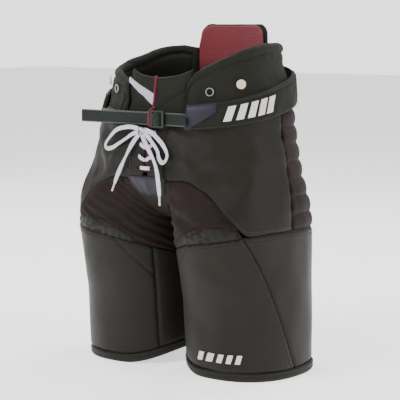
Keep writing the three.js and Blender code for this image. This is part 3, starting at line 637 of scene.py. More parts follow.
def spacer_mesh(colours):
    """Red knitted spacer mesh: a raised net round small dimples, about 2.2 mm apart, with painted
    shade darkening each dimple."""
    look, shader = new_look("spacer_mesh")
    place = add_node(look, "ShaderNodeTexCoord")
    cells = add_node(look, "ShaderNodeTexVoronoi", {
        "Vector": place.outputs["UV"], "Scale": 1 / 0.0024, "Randomness": 0.25},
        voronoi_dimensions="2D")
    hole = add_node(look, "ShaderNodeMapRange", {
        "Value": cells.outputs["Distance"], "From Min": 0.12, "From Max": 0.42})
    # Painted shade: the colour in each dimple falls to about a third of the red.
    cloth = add_node(look, "ShaderNodeMix", {
        "Factor": hole.outputs[0], 6: darker(colours.mesh, 0.35), 7: colours.mesh},
        data_type="RGBA")
    look.node_tree.links.new(cloth.outputs[2], shader.inputs["Base Color"])
    bump = add_node(look, "ShaderNodeBump", {
        "Height": hole.outputs[0], "Strength": 0.8, "Distance": 0.0008})
    look.node_tree.links.new(bump.outputs[0], shader.inputs["Normal"])
    shader.inputs["Roughness"].default_value = 0.75
    shader.inputs["Sheen Weight"].default_value = 0.3
    return look


def moulded_look(name, colour, roughness, grain, relief, metallic=0.0):
    """A moulded or plated surface: a fine grain in its gloss and relief."""
    look, shader = new_look(name)
    place = add_node(look, "ShaderNodeTexCoord")
    noise = add_node(look, "ShaderNodeTexNoise", {
        "Vector": place.outputs["Object"], "Scale": 1 / grain, "Detail": 4.0})
    tint = add_node(look, "ShaderNodeMix", {
        "Factor": noise.outputs["Fac"], 6: darker(colour, 0.85), 7: colour}, data_type="RGBA")
    look.node_tree.links.new(tint.outputs[2], shader.inputs["Base Color"])
    rough = add_node(look, "ShaderNodeMapRange", {
        "Value": noise.outputs["Fac"], "To Min": roughness - 0.06, "To Max": roughness + 0.1})
    look.node_tree.links.new(rough.outputs[0], shader.inputs["Roughness"])
    bump = add_node(look, "ShaderNodeBump", {
        "Height": noise.outputs["Fac"], "Strength": relief, "Distance": 0.0003})
    look.node_tree.links.new(bump.outputs[0], shader.inputs["Normal"])
    shader.inputs["Metallic"].default_value = metallic
    return look


def make_looks(colours):
    """Every material, by the record's slot or by what it is."""
    return {
        "nylon_shell": nylon_twill(colours),
        "stretch_fabric": stretch_knit(colours),
        "satin_trim": satin_polyester(colours),
        "pad_cover": textured_nylon(colours),
        "webbing": polyester_webbing(colours),
        # Painted highlight: the webbing's raised edge cords get a much lighter colour than the
        # webbing, standing in for the light they catch.
        "webbing_edge_highlight": woven_look("webbing_edge_painted_highlight", hex_colour("4a5149"), hex_colour("343a34"),
                                   0.0014, 0.6, 0.2, 0.4),
        "lining": tricot_lining(colours),
        "red_mesh": spacer_mesh(colours),
        "red_piping": red_piping(colours),
        "white_lace": cotton_lace(colours),
        "white_tape": white_tape(colours),
        # acetal: fine spark-eroded grain, half gloss
        "buckle_plastic": moulded_look("moulded_acetal", hex_colour("0e100f"), 0.38, 0.0006, 0.3),
        # polyethylene guards: waxy and slightly uneven
        "guard_plastic": moulded_look("moulded_polyethylene", hex_colour("3a3c40"), 0.45, 0.002, 0.2),
        # closed-cell foam: matte skin with fine pores
        "foam": moulded_look("closed_cell_foam", hex_colour("26262a"), 0.88, 0.0009, 0.8),
        # nickel plate over steel: bright, with light scuffs
        "steel": moulded_look("nickel_plate", hex_colour("b9bcc0"), 0.28, 0.001, 0.1, metallic=1.0),
        # cast resin button
        "cream_plastic": moulded_look("cast_resin", hex_colour("d8c8ae"), 0.35, 0.003, 0.1),
        # black oxide on brass eyelets
        "eyelet_black": moulded_look("black_oxide", hex_colour("1c1c1e"), 0.35, 0.001, 0.1,
                                     metallic=0.6),
        # screen-printed ink: slightly raised, satin
        "mark": moulded_look("screen_print_ink", colours.mark, 0.55, 0.0009, 0.4),
        # bonded nylon sewing thread
        "thread": moulded_look("sewing_thread", hex_colour("262622"), 0.6, 0.0005, 0.3),
    }


LOOKS = {}


# ------------------------------------------------------------------ placing pieces
def finish_piece(piece, slot, body, *nodes):
    """Puts a finished piece on its body, or bakes a leg's piece in place, and hides the parts it
    stands for.
    """
    if body in ("left_leg", "right_leg"):
        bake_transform(piece)
    else:
        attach(piece, body)
    if nodes:
        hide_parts(*nodes)
    return piece


def panel_grid(edges, step):
    """The u and height of a panel's points. Each edge is a function of the other direction, so the
    two are settled by repeating twelve times."""
    low, high, near, far = (edges[key] for key in ("low", "high", "from", "to"))
    low_z, high_z = (edge(np.array(edges["at"])) for edge in (low, high))
    middle_z = 0.5 * (low_z + high_z)
    width = THIGH_GIRTH * abs(float(far(middle_z)) - float(near(middle_z)))
    height = abs(float(high_z) - float(low_z))
    s, t = grid(max(8, int(width / step)), max(8, int(height / step)))
    z = mix(low_z, high_z, t)
    for _ in range(12):
        u = mix(near(z), far(z), s)
        z = mix(z, mix(low(u), high(u), t), 0.8)
    return u, z


def build_panel(side, name, edges, slot, relief=None, body=None, nodes=(), seed=1,
                thick=CLOTH_THICK, puckered=0.35, roll=2.0):
    """A sewn panel: the skin, raised by its relief along the normals, turned in at its seams and
    gathered a little beside them."""
    step = bpy.context.scene.hockey_pants_sizes.cloth_step * 1000
    u, z = panel_grid(edges, step)
    base = skin(u, z)
    normal = normals(base)
    along, up = lengths(base, 0), lengths(base, 1)
    raised = 0.9 * ripples(base, 120, seed + (7 if side == "right" else 0))
    if relief:
        raised = raised + relief(u, z, base)
    for distance, run in ((along, up), (along[-1:] - along, up),
                          (up, along), (up[:, -1:] - up, along)):
        raised = raised + seam_roll(distance, roll) + pucker(distance, run, 13, puckered, seed)
    raised = np.maximum(raised, DEEPEST_DIP)
    outer = base + normal * raised[..., None]
    inner = base - normal * (thick + 1.2 + np.maximum(0, -raised) * 0.6)[..., None]
    piece = closed_sheet(f"{side}_{name}", outer, inner, LOOKS[slot], side)
    finish_piece(piece, slot, body or f"{side}_leg", *nodes)
    return outer, normal


def stitch_row(name, path, outward, body, side="left", pitch=3.6, length=2.7, radius=0.42,
               look="thread"):
    """A row of stitches: short capsules laid along a path, each a six-sided ring at four places,
    sunk by half their radius."""
    path = np.asarray(path, float)
    travelled = np.concatenate([[0], np.cumsum(np.linalg.norm(np.diff(path, axis=0), axis=1))])
    count = max(2, int(travelled[-1] / pitch))
    at = (np.arange(count) + 0.5) / count * travelled[-1]
    centre = np.stack([np.interp(at, travelled, path[:, k]) for k in range(3)], -1)
    ahead = np.stack([np.interp(at + 0.5, travelled, path[:, k]) for k in range(3)], -1)
    behind = np.stack([np.interp(at - 0.5, travelled, path[:, k]) for k in range(3)], -1)
    way = (ahead - behind) / np.linalg.norm(ahead - behind, axis=1, keepdims=True)
    out = np.stack([np.interp(at, travelled, outward[:, k]) for k in range(3)], -1)
    out -= way * np.sum(out * way, axis=1, keepdims=True)
    out /= np.linalg.norm(out, axis=1, keepdims=True)
    across = np.cross(way, out)
    sides = 6
    angle = np.arange(sides) * np.pi / 3
    # Each ring is [place along the stitch, share of the radius].
    spots = np.array([[-0.5, 0.25], [-0.32, 1.0], [0.32, 1.0], [0.5, 0.25]])
    rings = (centre[:, None, None]
             + way[:, None, None] * (spots[:, 0] * length)[None, :, None, None]
             + (across[:, None, None] * np.cos(angle)[None, None, :, None]
                + out[:, None, None] * (np.sin(angle)[None, None, :, None] + 0.4))
             * (spots[:, 1] * radius)[None, :, None, None])
    i, j = np.meshgrid(np.arange(len(spots) - 1), np.arange(sides), indexing="ij")
    corners = [(i, j), (i + 1, j), (i + 1, j + 1), (i, j + 1)]
    one = np.stack([a * sides + b % sides for a, b in corners], -1).reshape(-1, 4)
    caps = np.array([[0, 1, 2, 3], [0, 3, 4, 5], [21, 20, 19, 18], [23, 22, 21, 18]])
    one = np.concatenate([one, caps[:, ::-1]])
    quads = (one + len(spots) * sides * np.arange(count)[:, None, None]).reshape(-1, 4)
    piece = make_object(name, rings.reshape(-1, 3), quads, None, LOOKS[look], side)
    return finish_piece(piece, None, body)


def line_in(outer, normal, edge, distance, step=2.6):
    """A line on a panel beside one of its edges, and its outward directions."""
    count = max(1, round(distance / step))
    take = {"low": np.s_[:, count], "high": np.s_[:, -1 - count],
            "from": np.s_[count, :], "to": np.s_[-1 - count, :]}[edge]
    return outer[take], normal[take]


def fixed(value):
    """An edge that stays at one value."""
    return lambda z: np.full(np.shape(z), float(value))


# ------------------------------------------------------------------ stage
class HOCKEY_OT_stage(bpy.types.Operator):
    """Floor, soft lights, pale surroundings and the camera."""

    bl_idname = "hockey_pants.stage"
    bl_label = "Stage"

    def execute(self, context):
        scene = context.scene
        target = np.array([0, SETBACK * 0.001, CAMERA_TARGET_Z])
        back = np.array([np.sin(CAMERA_AZIMUTH) * np.cos(CAMERA_ELEVATION),
                         -np.cos(CAMERA_AZIMUTH) * np.cos(CAMERA_ELEVATION),
                         np.sin(CAMERA_ELEVATION)])
        data = bpy.data.cameras.new("camera")
        data.sensor_width = 36
        data.lens = CAMERA_LENS
        camera = bpy.data.objects.new("camera", data)
        camera.location = (target + back * CAMERA_DISTANCE).tolist()
        camera.rotation_euler = (np.pi / 2 - CAMERA_ELEVATION, 0, CAMERA_AZIMUTH)
        scene.collection.objects.link(camera)
        scene.camera = camera

        world = bpy.data.worlds.new("pale_surroundings")
        world.use_nodes = True
        world.node_tree.nodes.clear()
        # Soft light for the pieces, and a paler wall behind them.
        soft, wall = (add_node(world, "ShaderNodeBackground", {
            "Color": (1, 1, 1, 1), "Strength": strength}) for strength in (SOFT_LIGHT, WALL_LIGHT))
        seen = add_node(world, "ShaderNodeLightPath")
        mixed = add_node(world, "ShaderNodeMixShader", {
            0: seen.outputs["Is Camera Ray"], 1: soft.outputs[0], 2: wall.outputs[0]})
        add_node(world, "ShaderNodeOutputWorld", {"Surface": mixed.outputs[0]})
        scene.world = world

        corners = [(-1, -1), (1, -1), (1, 1), (-1, 1)]
        mesh = bpy.data.meshes.new("floor")
        mesh.from_pydata([(FLOOR_HALF * x, FLOOR_HALF * y, 0) for x, y in corners], [],
                         [(0, 1, 2, 3)])
        floor = bpy.data.objects.new("floor", mesh)
        scene.collection.objects.link(floor)
        pale = moulded_look("pale_floor", hex_colour("fdfdfd"), 0.8, 0.05, 0.0)
        glow = next(n for n in pale.node_tree.nodes if n.type == "BSDF_PRINCIPLED")
        glow.inputs["Emission Color"].default_value = (1, 1, 1, 1)
        glow.inputs["Emission Strength"].default_value = FLOOR_GLOW
        mesh.materials.append(pale)

        for name, turn, rise, away, size, watts in LAMPS:
            turn, rise = np.radians(turn), np.radians(rise)
            light = bpy.data.lights.new(name, "AREA")
            light.energy, light.size = watts, size
            lamp = bpy.data.objects.new(name, light)
            lamp.location = (away * np.sin(turn) * np.cos(rise),
                             -away * np.cos(turn) * np.cos(rise), 0.3 + away * np.sin(rise))
            lamp.rotation_euler = (np.pi / 2 - rise, 0, turn)
            scene.collection.objects.link(lamp)
        LOOKS.update(make_looks(scene.hockey_pants_colours))
        return {"FINISHED"}


# ------------------------------------------------------------------ lacing
def flat_section(width, thick, count=20):
    """A squared ellipse with most of its points near the two edges of the ribbon."""
    angle = np.linspace(0, 2 * np.pi, count, endpoint=False)
    c, s = np.cos(angle), np.sin(angle)
    return np.stack([np.sign(c) * np.abs(c) ** 0.55 * width / 2,
                     np.sign(s) * np.abs(s) ** 0.8 * thick / 2], -1)


class HOCKEY_OT_lacing(bpy.types.Operator):
    """The bow's loops and tails, its knot and the strands below it."""

    bl_idname = "hockey_pants.lacing"
    bl_label = "Lacing"

    def execute(self, context):
        width = context.scene.hockey_pants_sizes.lace_width * 1000
        t = np.linspace(0, 2 * np.pi, 120, endpoint=False)
        knot = np.stack([(np.sin(t) + 2 * np.sin(2 * t)) * 2.2, -np.sin(3 * t) * 2.6,
                         (np.cos(t) - 2 * np.cos(2 * t)) * 2.2], -1) + KNOT_AT
        outward = knot - np.array(KNOT_AT) + (0, -3, 0)
        tied = swept("knot_of_lace", knot, flat_section(5.0, 2.2, 12), outward,
                     LOOKS["white_lace"], closed=True)
        finish_piece(tied, "white_lace", "hips", "lace_knot")

        for name, route in BOW.items():
            path = curve_through(route, 1.6)
            turn = 0.35 * np.sin(np.linspace(0, 3.2 * np.pi, len(path)))
            facing = np.array([0, -1, 0.25]) + np.zeros((len(path), 3))
            piece = swept(f"{name}_ribbon", path, flat_section(width, 1.8), facing,
                          LOOKS["white_lace"], turn=turn)
            finish_piece(piece, "white_lace", "hips", name)

        # Each strand comes over a facing's edge and slants up to its eyelet; one bar lies below.
        strands = [((side * 1.0, z - 7), (side * (EYELET_X + 1.5), z + 1))
                   for z in LACE_ROWS[1:] for side in (-1, 1)]
        strands.append(((-EYELET_X + 2, LACE_ROWS[0]), (EYELET_X - 2, LACE_ROWS[0])))
        for count, ((x0, z0), (x1, z1)) in enumerate(strands):
            share = np.linspace(0, 1, 24)
            bow = np.sin(np.pi * share) ** 0.35
            across = middle_point(mix(x0, x1, share), mix(z0, z1, share), 0, 0)
            across[:, 1] -= mix(-1.5, 4.4, bow)
            piece = swept(f"lace_strand_{count + 1}", across, flat_section(width - 1, 1.6, 12),
                          (0, -1, 0), LOOKS["white_lace"])
            finish_piece(piece, "white_lace", "hips", *(["fly_lacing"] if count == 0 else []))
        return {"FINISHED"}


# ------------------------------------------------------------------ legs
def stitched(side, name, outer, normal, edge, distances):
    """Rows of stitches on a leg's panel beside one edge, at each distance from it."""
    for row, distance in enumerate(distances):
        path, out = line_in(outer, normal, edge, distance)
        stitch_row(f"{side}_{name}_stitch_{row + 1}", path + out * 0.25, out, f"{side}_leg", side)


class HOCKEY_OT_legs(bpy.types.Operator):
    """Four sewn panels of each leg, with the hem band and the liner."""

    bl_idname = "hockey_pants.legs"
    bl_label = "Legs"

    def execute(self, context):
        for side in ("left", "right"):
            self.panels(side)
            self.hem(side)
        return {"FINISHED"}

    def panels(self, side):
        """The panels, each from one edge to the next, with its creases as relief."""
        extra = 20 if side == "right" else 0

        def front_relief(u, z, base):
            slant = z - (112 + 620 * clamp01(u - 0.045) ** 1.02)  # a seam across the inner thigh
            inward = clamp01((0.31 - u) / 0.03)
            return (1.3 * ripples(base, 75, 3 + extra, (1, 1, 1.7))
                    - 1.8 * np.exp(-(slant / 2.6) ** 2) * inward
                    + fold(u, z, (0.2, 190), (0.4, 120), 16, 1.8)
                    + fold(u, z, (0.16, 120), (0.3, 60), 18, -1.6)
                    + fold(u, z, (0.3, 210), (0.35, 150), 12, 1.4))

        def side_relief(u, z, base):
            return 1.2 * ripples(base, 70, 5 + extra, (1, 1, 1.8)) \
                + fold(u, z, (0.46, 200), (0.56, 60), 20, 1.6)

        def back_relief(u, z, base):
            return 1.4 * ripples(base, 70, 6 + extra, (1, 1, 1.5)) \
                + fold(u, z, (0.7, 200), (0.85, 110), 14, 2.0)

        rows = [
            ("front_thigh", fixed(INNER_FRONT_U), diagonal, 0.3, front_relief),
            ("side_thigh", diagonal, fixed(BACK_SEAM_U), 0.55, side_relief),
            ("back_thigh", fixed(BACK_SEAM_U), fixed(INNER_BACK_U), 0.76, back_relief),
            ("inner_thigh", fixed(INNER_BACK_U), fixed(1 + INNER_FRONT_U), 1.0, None),
        ]
        for seed, (name, near, far, at, relief) in enumerate(rows):
            edges = {"from": near, "to": far, "low": hem_top, "high": seam_z, "at": at}
            outer, normal = build_panel(side, f"{name}_cloth", edges, "nylon_shell", relief,
                                        nodes=[f"{side}_{name}_panel"], seed=11 + seed)
            stitched(side, name, outer, normal, "high", (5, 10))
            if name == "front_thigh":
                stitched(side, "diagonal", outer, normal, "to", (5,))
            if name == "inner_thigh":
                stitched(side, "inseam", outer, normal, "from", (5,))

    def hem(self, side):
        """The hem's rounded band, its stitches and the lining behind it."""
        s, t = grid(210, 10)
        u, z = s, mix(hem_low(s), hem_top(s), t)
        rounded = (1 - np.abs(2 * t - 1) ** 4) ** 0.5
        base = skin(u, z)
        normal = normals(base, ring=True)
        waver = 0.5 * ripples(base, 60, 41) + 0.35 * np.cos(2 * np.pi * s * 90)
        outer = base + normal * (-0.6 + 1.5 * rounded + waver * rounded)[..., None]
        inner = base - normal * (3.5 + 3.5 * rounded)[..., None]
        outer[-1], inner[-1] = outer[0], inner[0]
        piece = closed_sheet(f"{side}_hem_binding", outer, inner, LOOKS["nylon_shell"], side, True)
        finish_piece(piece, "nylon_shell", f"{side}_leg", f"{side}_hem_band")
        for row, column in enumerate((3, 8)):
            stitch_row(f"{side}_hem_stitch_{row + 1}", outer[:, column] + normal[:, column] * 0.2,
                       normal[:, column], f"{side}_leg", side)
        # The liner: a tube inside the leg that widens to meet the hem.
        s, t = grid(140, 40)
        z = mix(hem_low(s) + 4, 212, t)
        inset = 17 - 10.5 * np.exp(-((z - hem_low(s) - 4) / 12) ** 2)
        base = skin(s, z)
        normal = normals(base, ring=True)
        outer = base - normal * (inset + 0.8 * ripples(base, 40, 43))[..., None]
        inner = outer - normal * 1.5
        outer[-1], inner[-1] = outer[0], inner[0]
        piece = closed_sheet(f"{side}_leg_lining", outer, inner, LOOKS["lining"], side, True)
        finish_piece(piece, "lining", f"{side}_leg", f"{side}_leg_liner")


# ------------------------------------------------------------------ hips
def top_edge(u):
    """Height of the outer cloth's top edge round the left half."""
    return shell_top(skin(u, BELT_Z)[..., 1])


class HOCKEY_OT_hips(bpy.types.Operator):
    """The front panel that runs round the hip, the stretch inset with the gathered strip under it,
    the pleated stretch back and the seat."""

    bl_idname = "hockey_pants.hips"
    bl_label = "Hips"

    def execute(self, context):
        for side in ("left", "right"):
            self.side_panels(side, context.scene.hockey_pants_sizes)
        return {"FINISHED"}

    def side_panels(self, side, sizes):
        """One side's panels. Each relief is in millimetres, as a sum of waves and folds."""
        extra = 30 if side == "right" else 0
        pitch, depth = sizes.pleat_pitch * 1000, sizes.pleat_depth * 1000

        def front_relief(u, z, base):
            sweep = np.cos(2 * np.pi * (z + 430 * u) / 62 + 2.0 * ripples(base, 120, 58 + extra))
            upper = clamp01((z - 285) / 60)
            return (1.5 * ripples(base, 60, 51 + extra, (1, 1, 1.3)) + 1.1 * sweep * upper
                    + fold(u, z, (0.17, 375), (0.24, 335), 11, 3.4)
                    + fold(u, z, (0.235, 335), (0.32, 372), 12, 3.2)
                    + fold(u, z, (0.12, 405), (0.26, 385), 10, -2.8)
                    + fold(u, z, (0.16, 398), (0.36, 408), 9, 2.4)
                    + fold(u, z, (0.42, 350), (0.345, 262), 15, 4.0)
                    + fold(u, z, (0.36, 398), (0.46, 360), 13, 2.6)
                    + fold(u, z, (0.47, 320), (0.4, 250), 11, -2.8)
                    + fold(u, z, (0.27, 345), (0.33, 300), 10, -2.2))

        def stretch_relief(u, z, base):
            wrinkle = np.cos(2 * np.pi * (z - 340 * u) / 17 + 2.2 * ripples(base, 70, 53 + extra))
            low = np.exp(-((z - seam_z(u) - 18) / 22) ** 2)
            return (1.6 * ripples(base, 45, 54 + extra) + wrinkle * (0.7 + 0.9 * low)
                    + fold(u, z, (0.08, 290), (0.22, 262), 9, 3.0)
                    + fold(u, z, (0.06, 255), (0.26, 236), 8, 2.6)
                    + fold(u, z, (0.12, 272), (0.27, 246), 7, -2.6))

        def gather_relief(u, z, base):
            crossed = np.cos(2 * np.pi * (z + 260 * u) / 11 + 2.4 * ripples(base, 34, 59 + extra))
            ends = np.sin(np.pi * clamp01((u - GATHER_FROM_U) / 0.2))
            return 0.8 + ends * (0.6 + 0.6 * crossed + 1.1 * ripples(base, 24, 60 + extra))

        def gather_high(u):
            rise = 2 + 21 * np.sin(np.pi * clamp01((u - 0.15) / 0.225)) ** 0.8
            return np.minimum(seam_z(u) + rise, stretch_line(u))

        def pleat_relief(u, z, base):
            phase = (z - 232) / pitch + 0.12 * ripples(base, 160, 55 + extra)
            scallop = np.abs(np.sin(np.pi * phase)) ** 0.6
            return depth * (scallop - 0.35) - 2.5 + 0.6 * ripples(base, 22, 56 + extra, (1, 1, 3))

        def seat_relief(u, z, base):
            return 1.8 * ripples(base, 70, 57 + extra, (1.5, 1, 1)) \
                + fold(u, z, (0.84, 300), (0.97, 260), 16, 2.6)

        heights = np.linspace(300, 430, 27)
        facing = parameter_at(FLY_HALF - 4, heights, 0)

        def fly_edge(z):
            return np.interp(z, heights, facing)

        def stretch_edge(z):
            return np.minimum(diagonal(z), 0.365)

        # Each row is [name, node, two u edges, two height edges, u where it is measured, slot,
        # relief, gathers, seam roll].
        rows = [
            ("front_cloth", "front_panel", fly_edge, fixed(HIP_SEAM_U), hip_low, top_edge,
             0.3, "nylon_shell", front_relief, 0.5, 2.0),
            ("stretch_cloth", "stretch_panel", fixed(0.004), stretch_edge, seam_z, stretch_line,
             0.12, "stretch_fabric", stretch_relief, 0.9, 2.4),
            ("gathered_cloth", None, fixed(GATHER_FROM_U), fixed(GATHER_TO_U), seam_z, gather_high,
             0.26, "nylon_shell", gather_relief, 0.8, 1.2),
            ("pleated_cloth", "pleated_back_panel", fixed(HIP_SEAM_U), fixed(PLEAT_END_U), seam_z,
             top_edge, 0.65, "stretch_fabric", pleat_relief, 0.2, 1.4),
            ("seat_cloth", "seat_panel", fixed(PLEAT_END_U), fixed(0.996), seam_z, top_edge, 0.9,
             "nylon_shell", seat_relief, 0.5, 2.0),
        ]
        for seed, row in enumerate(rows):
            name, node, near, far, low, high, at, slot, relief, puckered, roll = row
            edges = {"from": near, "to": far, "low": low, "high": high, "at": at}
            nodes = [f"{side}_{node}"] if node else []
            nodes += [f"{side}_hip_panel"] if node == "front_panel" else []
            outer, normal = build_panel(side, name, edges, slot, relief, nodes=nodes,
                                        seed=61 + seed, puckered=puckered, roll=roll)
            if name == "front_cloth":
                stitched(side, name, outer, normal, "low", (5,))
            if name == "seat_cloth":
                stitched(side, name, outer, normal, "from", (5,))


# ------------------------------------------------------------------ middle
def strip_edges():
    """The edge of the strip between the legs: down the front, under and up the back."""
    front = skin(FRONT_EDGE, EDGE_HEIGHTS)[::-1]
    heights = np.linspace(CROTCH_Z, 474, 70)
    u = parameter_at(rear_half(heights) + 0.6, heights, 1)
    back = skin(u, heights)
    under = mix(front[-1], back[0], np.linspace(0, 1, 32)[1:-1, None])
    return np.concatenate([front, under, back])


def fly_sheet(name, low, high, near, far, out, thick, slot, nodes=(), side="left", seed=1,
              rough=0.3, roll=0.8, columns=26, rows=60):
    """A flat layer over the fly between two x edges and two heights, out from the shell."""
    s, t = grid(columns, rows)
    z = mix(low, high, t)
    x = mix(near(z), far(z), s)
    base = middle_point(x, z, 0, 0)
    along, up = lengths(base, 0), lengths(base, 1)
    raised = out + rough * ripples(base, 26, seed)
    for distance in (along, along[-1:] - along, up, up[:, -1:] - up):
        raised = raised + seam_roll(distance, roll, 2.0)
    outer, inner = base.copy(), base.copy()
    outer[..., 1] -= raised
    inner[..., 1] -= out - thick
    return finish_piece(closed_sheet(name, outer, inner, LOOKS[slot], side), slot, "hips", *nodes), \
        outer


def facing_edge(z):
    """Inner edge of a fly facing: upright, curving away from the middle at its foot."""
    return 3.2 + 5 * clamp01((340 - z) / 26) ** 2


def patch_edge(z):
    """Half width of the satin patch under the fly, just inside the middle strip's."""
    return crotch_half(z) - 4


class HOCKEY_OT_middle(bpy.types.Operator):
    """The strip between the legs, the fly with its tongue and eyelets, and the hip lining."""

    bl_idname = "hockey_pants.middle"
    bl_label = "Middle"

    def execute(self, context):
        edge = strip_edges()
        middle = edge * (0, 1, 1)
        width = edge[:, 0] + 3
        way = np.gradient(middle, axis=0)
        out = np.stack([0 * way[:, 0], way[:, 2], -way[:, 1]], -1)
        out /= np.linalg.norm(out, axis=1, keepdims=True)
        centroid = middle.mean(0)
        if np.sum(out * (middle - centroid)) < 0:
            out = -out
        across = np.linspace(-1, 1, 19)
        outer = middle[:, None] + np.array([1, 0, 0]) * (width[:, None] * across)[..., None]
        proud = 1.6 + 0.8 * (1 - across ** 4) + 0 * width[:, None]
        proud = proud + 0.4 * ripples(outer, 30, 71)
        inner = outer - out[:, None] * 1.5
        outer = outer + out[:, None] * proud[..., None]
        piece = closed_sheet("crotch_strip", outer, inner, LOOKS["nylon_shell"])
        finish_piece(piece, "nylon_shell", "hips", "crotch_gusset")

        for side in ("left", "right"):
            _, face = fly_sheet(f"{side}_facing", FLY_LOW_Z - 6, FLY_TOP_Z, facing_edge,
                                fixed(FLY_HALF - 0.4), 2.4, 2.4, "nylon_shell",
                                [f"{side}_fly_facing"], side, 72)
            for row, column in enumerate((2, 23)):
                path = face[column]
                outward = np.zeros_like(path) + (0, -1, 0)
                stitch_row(f"{side}_facing_stitch_{row + 1}", path + outward * 0.2, outward,
                           "hips", side)
            for row, z in enumerate(LACE_ROWS):
                centre = middle_point(np.array(float(EYELET_X)), np.array(float(z)), 0, 0)
                turn = np.linspace(0, 2 * np.pi, 10, endpoint=False)
                ring = np.stack([3.6 + 1.1 * np.cos(turn), 2.6 + 0.9 * np.sin(turn)], -1)
                piece = revolved(f"{side}_eyelet_{row + 1}", ring, centre, (0, -1, 0),
                                 LOOKS["eyelet_black"], side, 24)
                finish_piece(piece, "steel", "hips")
        fly_sheet("tongue_mesh", FLY_LOW_Z + 6, 398, fixed(-26), fixed(26), -2.4, 1.8, "red_mesh",
                  ["fly_tongue"], seed=73)
        fly_sheet("fly_patch", FLY_LOW_Z - 32, FLY_LOW_Z - 1, lambda z: -patch_edge(z), patch_edge,
                  4.4, 1.4, "satin_trim", ["fly_gusset_patch"], seed=74, rough=0.7, columns=50,
                  rows=30)

        s, t = grid(200, 40)
        path = mix(0.16, 1.84, s)
        u = np.where(path < 1, path, 2 - path)
        z = mix(300, top_edge(u) - 10, t)
        points = []
        for inset in (16.6, 18.0):
            at = skin(u, z, inset)
            at[..., 0] *= np.where(path < 1, 1, -1)
            points.append(at)
        piece = closed_sheet("hip_lining", points[0], points[1], LOOKS["lining"])
        finish_piece(piece, "lining", "hips", "hip_liner")
        return {"FINISHED"}


# ------------------------------------------------------------------ pads
def inflate(piece, cap, pressure=4.0):
    """Swells a closed shape by cloth simulation without gravity, and keeps each
    point within the cap, in millimetres, of where it began."""
    scene = bpy.context.scene
    rest = np.empty(len(piece.data.vertices) * 3)
    piece.data.vertices.foreach_get("co", rest)
    cloth = piece.modifiers.new("cloth", "CLOTH")
    cloth.settings.use_pressure = True
    cloth.settings.uniform_pressure_force = pressure
    cloth.settings.effector_weights.gravity = 0
    cloth.settings.quality = 4
    cloth.collision_settings.use_collision = False
    for count in range(1, CLOTH_FRAMES + 1):
        scene.frame_set(count)
    shaped = piece.evaluated_get(bpy.context.evaluated_depsgraph_get())
    moved = np.empty_like(rest)
    shaped.data.vertices.foreach_get("co", moved)
    piece.modifiers.remove(cloth)
    scene.frame_set(1)
    shift = (moved - rest).reshape(-1, 3)
    size = np.linalg.norm(shift, axis=1, keepdims=True)
    if not np.isfinite(size).all():
        raise RuntimeError(f"the cloth simulation failed on {piece.name}")
    shift *= np.minimum(1, cap * 0.001 / np.maximum(size, 1e-9))
    piece.data.vertices.foreach_set("co", (rest + shift.ravel()))
    piece.data.update()


def press(piece, amounts):
    """Moves each point along its normal by an amount in millimetres."""
    count = len(piece.data.vertices)
    at, way = np.empty(count * 3), np.empty(count * 3)
    piece.data.vertices.foreach_get("co", at)
    piece.data.vertex_normals.foreach_get("vector", way)
    piece.data.vertices.foreach_set("co", at + way * np.repeat(amounts * 0.001, 3))
    piece.data.update()


def subdivide(piece):
    """One smoothing subdivision, as a modifier."""
    smoothing = piece.modifiers.new("smooth", "SUBSURF")
    smoothing.levels = smoothing.render_levels = 1


def padded_band(name, side, degrees, low, high, outset, depth, slot, nodes, cap, grooves=(),
                taper=0.0, edge=8.0, columns=70, rows=26, seed=81, rough=1.0,
                side_blend=False):
    """A pad round the waist: rolled at its edges, swollen by simulation, then pressed in along its
    sewn channels, each given as [distance from the edge, depth, width]. With side_blend its front
    stands out over the cloth and its back thins and goes in under the spine pad."""
    s, t = grid(columns, rows)
    t = 0.5 - 0.5 * np.cos(np.pi * t) * np.abs(np.cos(np.pi * t)) ** -0.15
    angle = mix(degrees[0], degrees[1], s)
    z = mix(low(angle), high(angle), t)
    angle = 90 + (angle - 90) * (1 - taper * t)
    base = waist(angle, z, lean(angle, z))
    along, up = lengths(base, 0), lengths(base, 1)
    distance = np.minimum(np.minimum(along, along[-1:] - along), up[:, -1:] - up)
    inward = clamp01(1 - distance / edge)
    outset, depth = outset + 0 * angle, depth + 0 * angle
    if side_blend:
        front, back = smooth(clamp01((-60 - angle) / 8)), smooth(clamp01((angle - 50) / 8))
        outset, depth = outset + 3.2 * front - 8.5 * back, depth - 8.5 * front - 8 * back
    fall = depth * 0.5 * (1 - np.sqrt(np.maximum(0, 1 - inward ** 2)))
    normal = normals(base)
    outer = base + normal * (outset - fall)[..., None]
    inner = base + normal * (outset - depth + fall)[..., None]
    piece = closed_sheet(name, outer, inner, LOOKS[slot], side)
    inflate(piece, cap)
    relief = rough * ripples(base, 36, seed) + 0.4 * rough * ripples(base, 14, seed + 1)
    inside = 0 * relief
    for from_edge, deep, wide in grooves:
        channel = deep * np.exp(-((distance - from_edge) / wide) ** 2)
        relief, inside = relief - channel, inside - channel
    press(piece, np.concatenate([relief.ravel(), inside.ravel()]))
    subdivide(piece)
    finish_piece(piece, slot, "hips", *nodes)


def lean(degrees, z):
    """How far the pads lean in above the belt, most at the side and back."""
    return 12 * smooth(clamp01((z - 448) / 60)) * smooth(clamp01((degrees + 50) / 60))


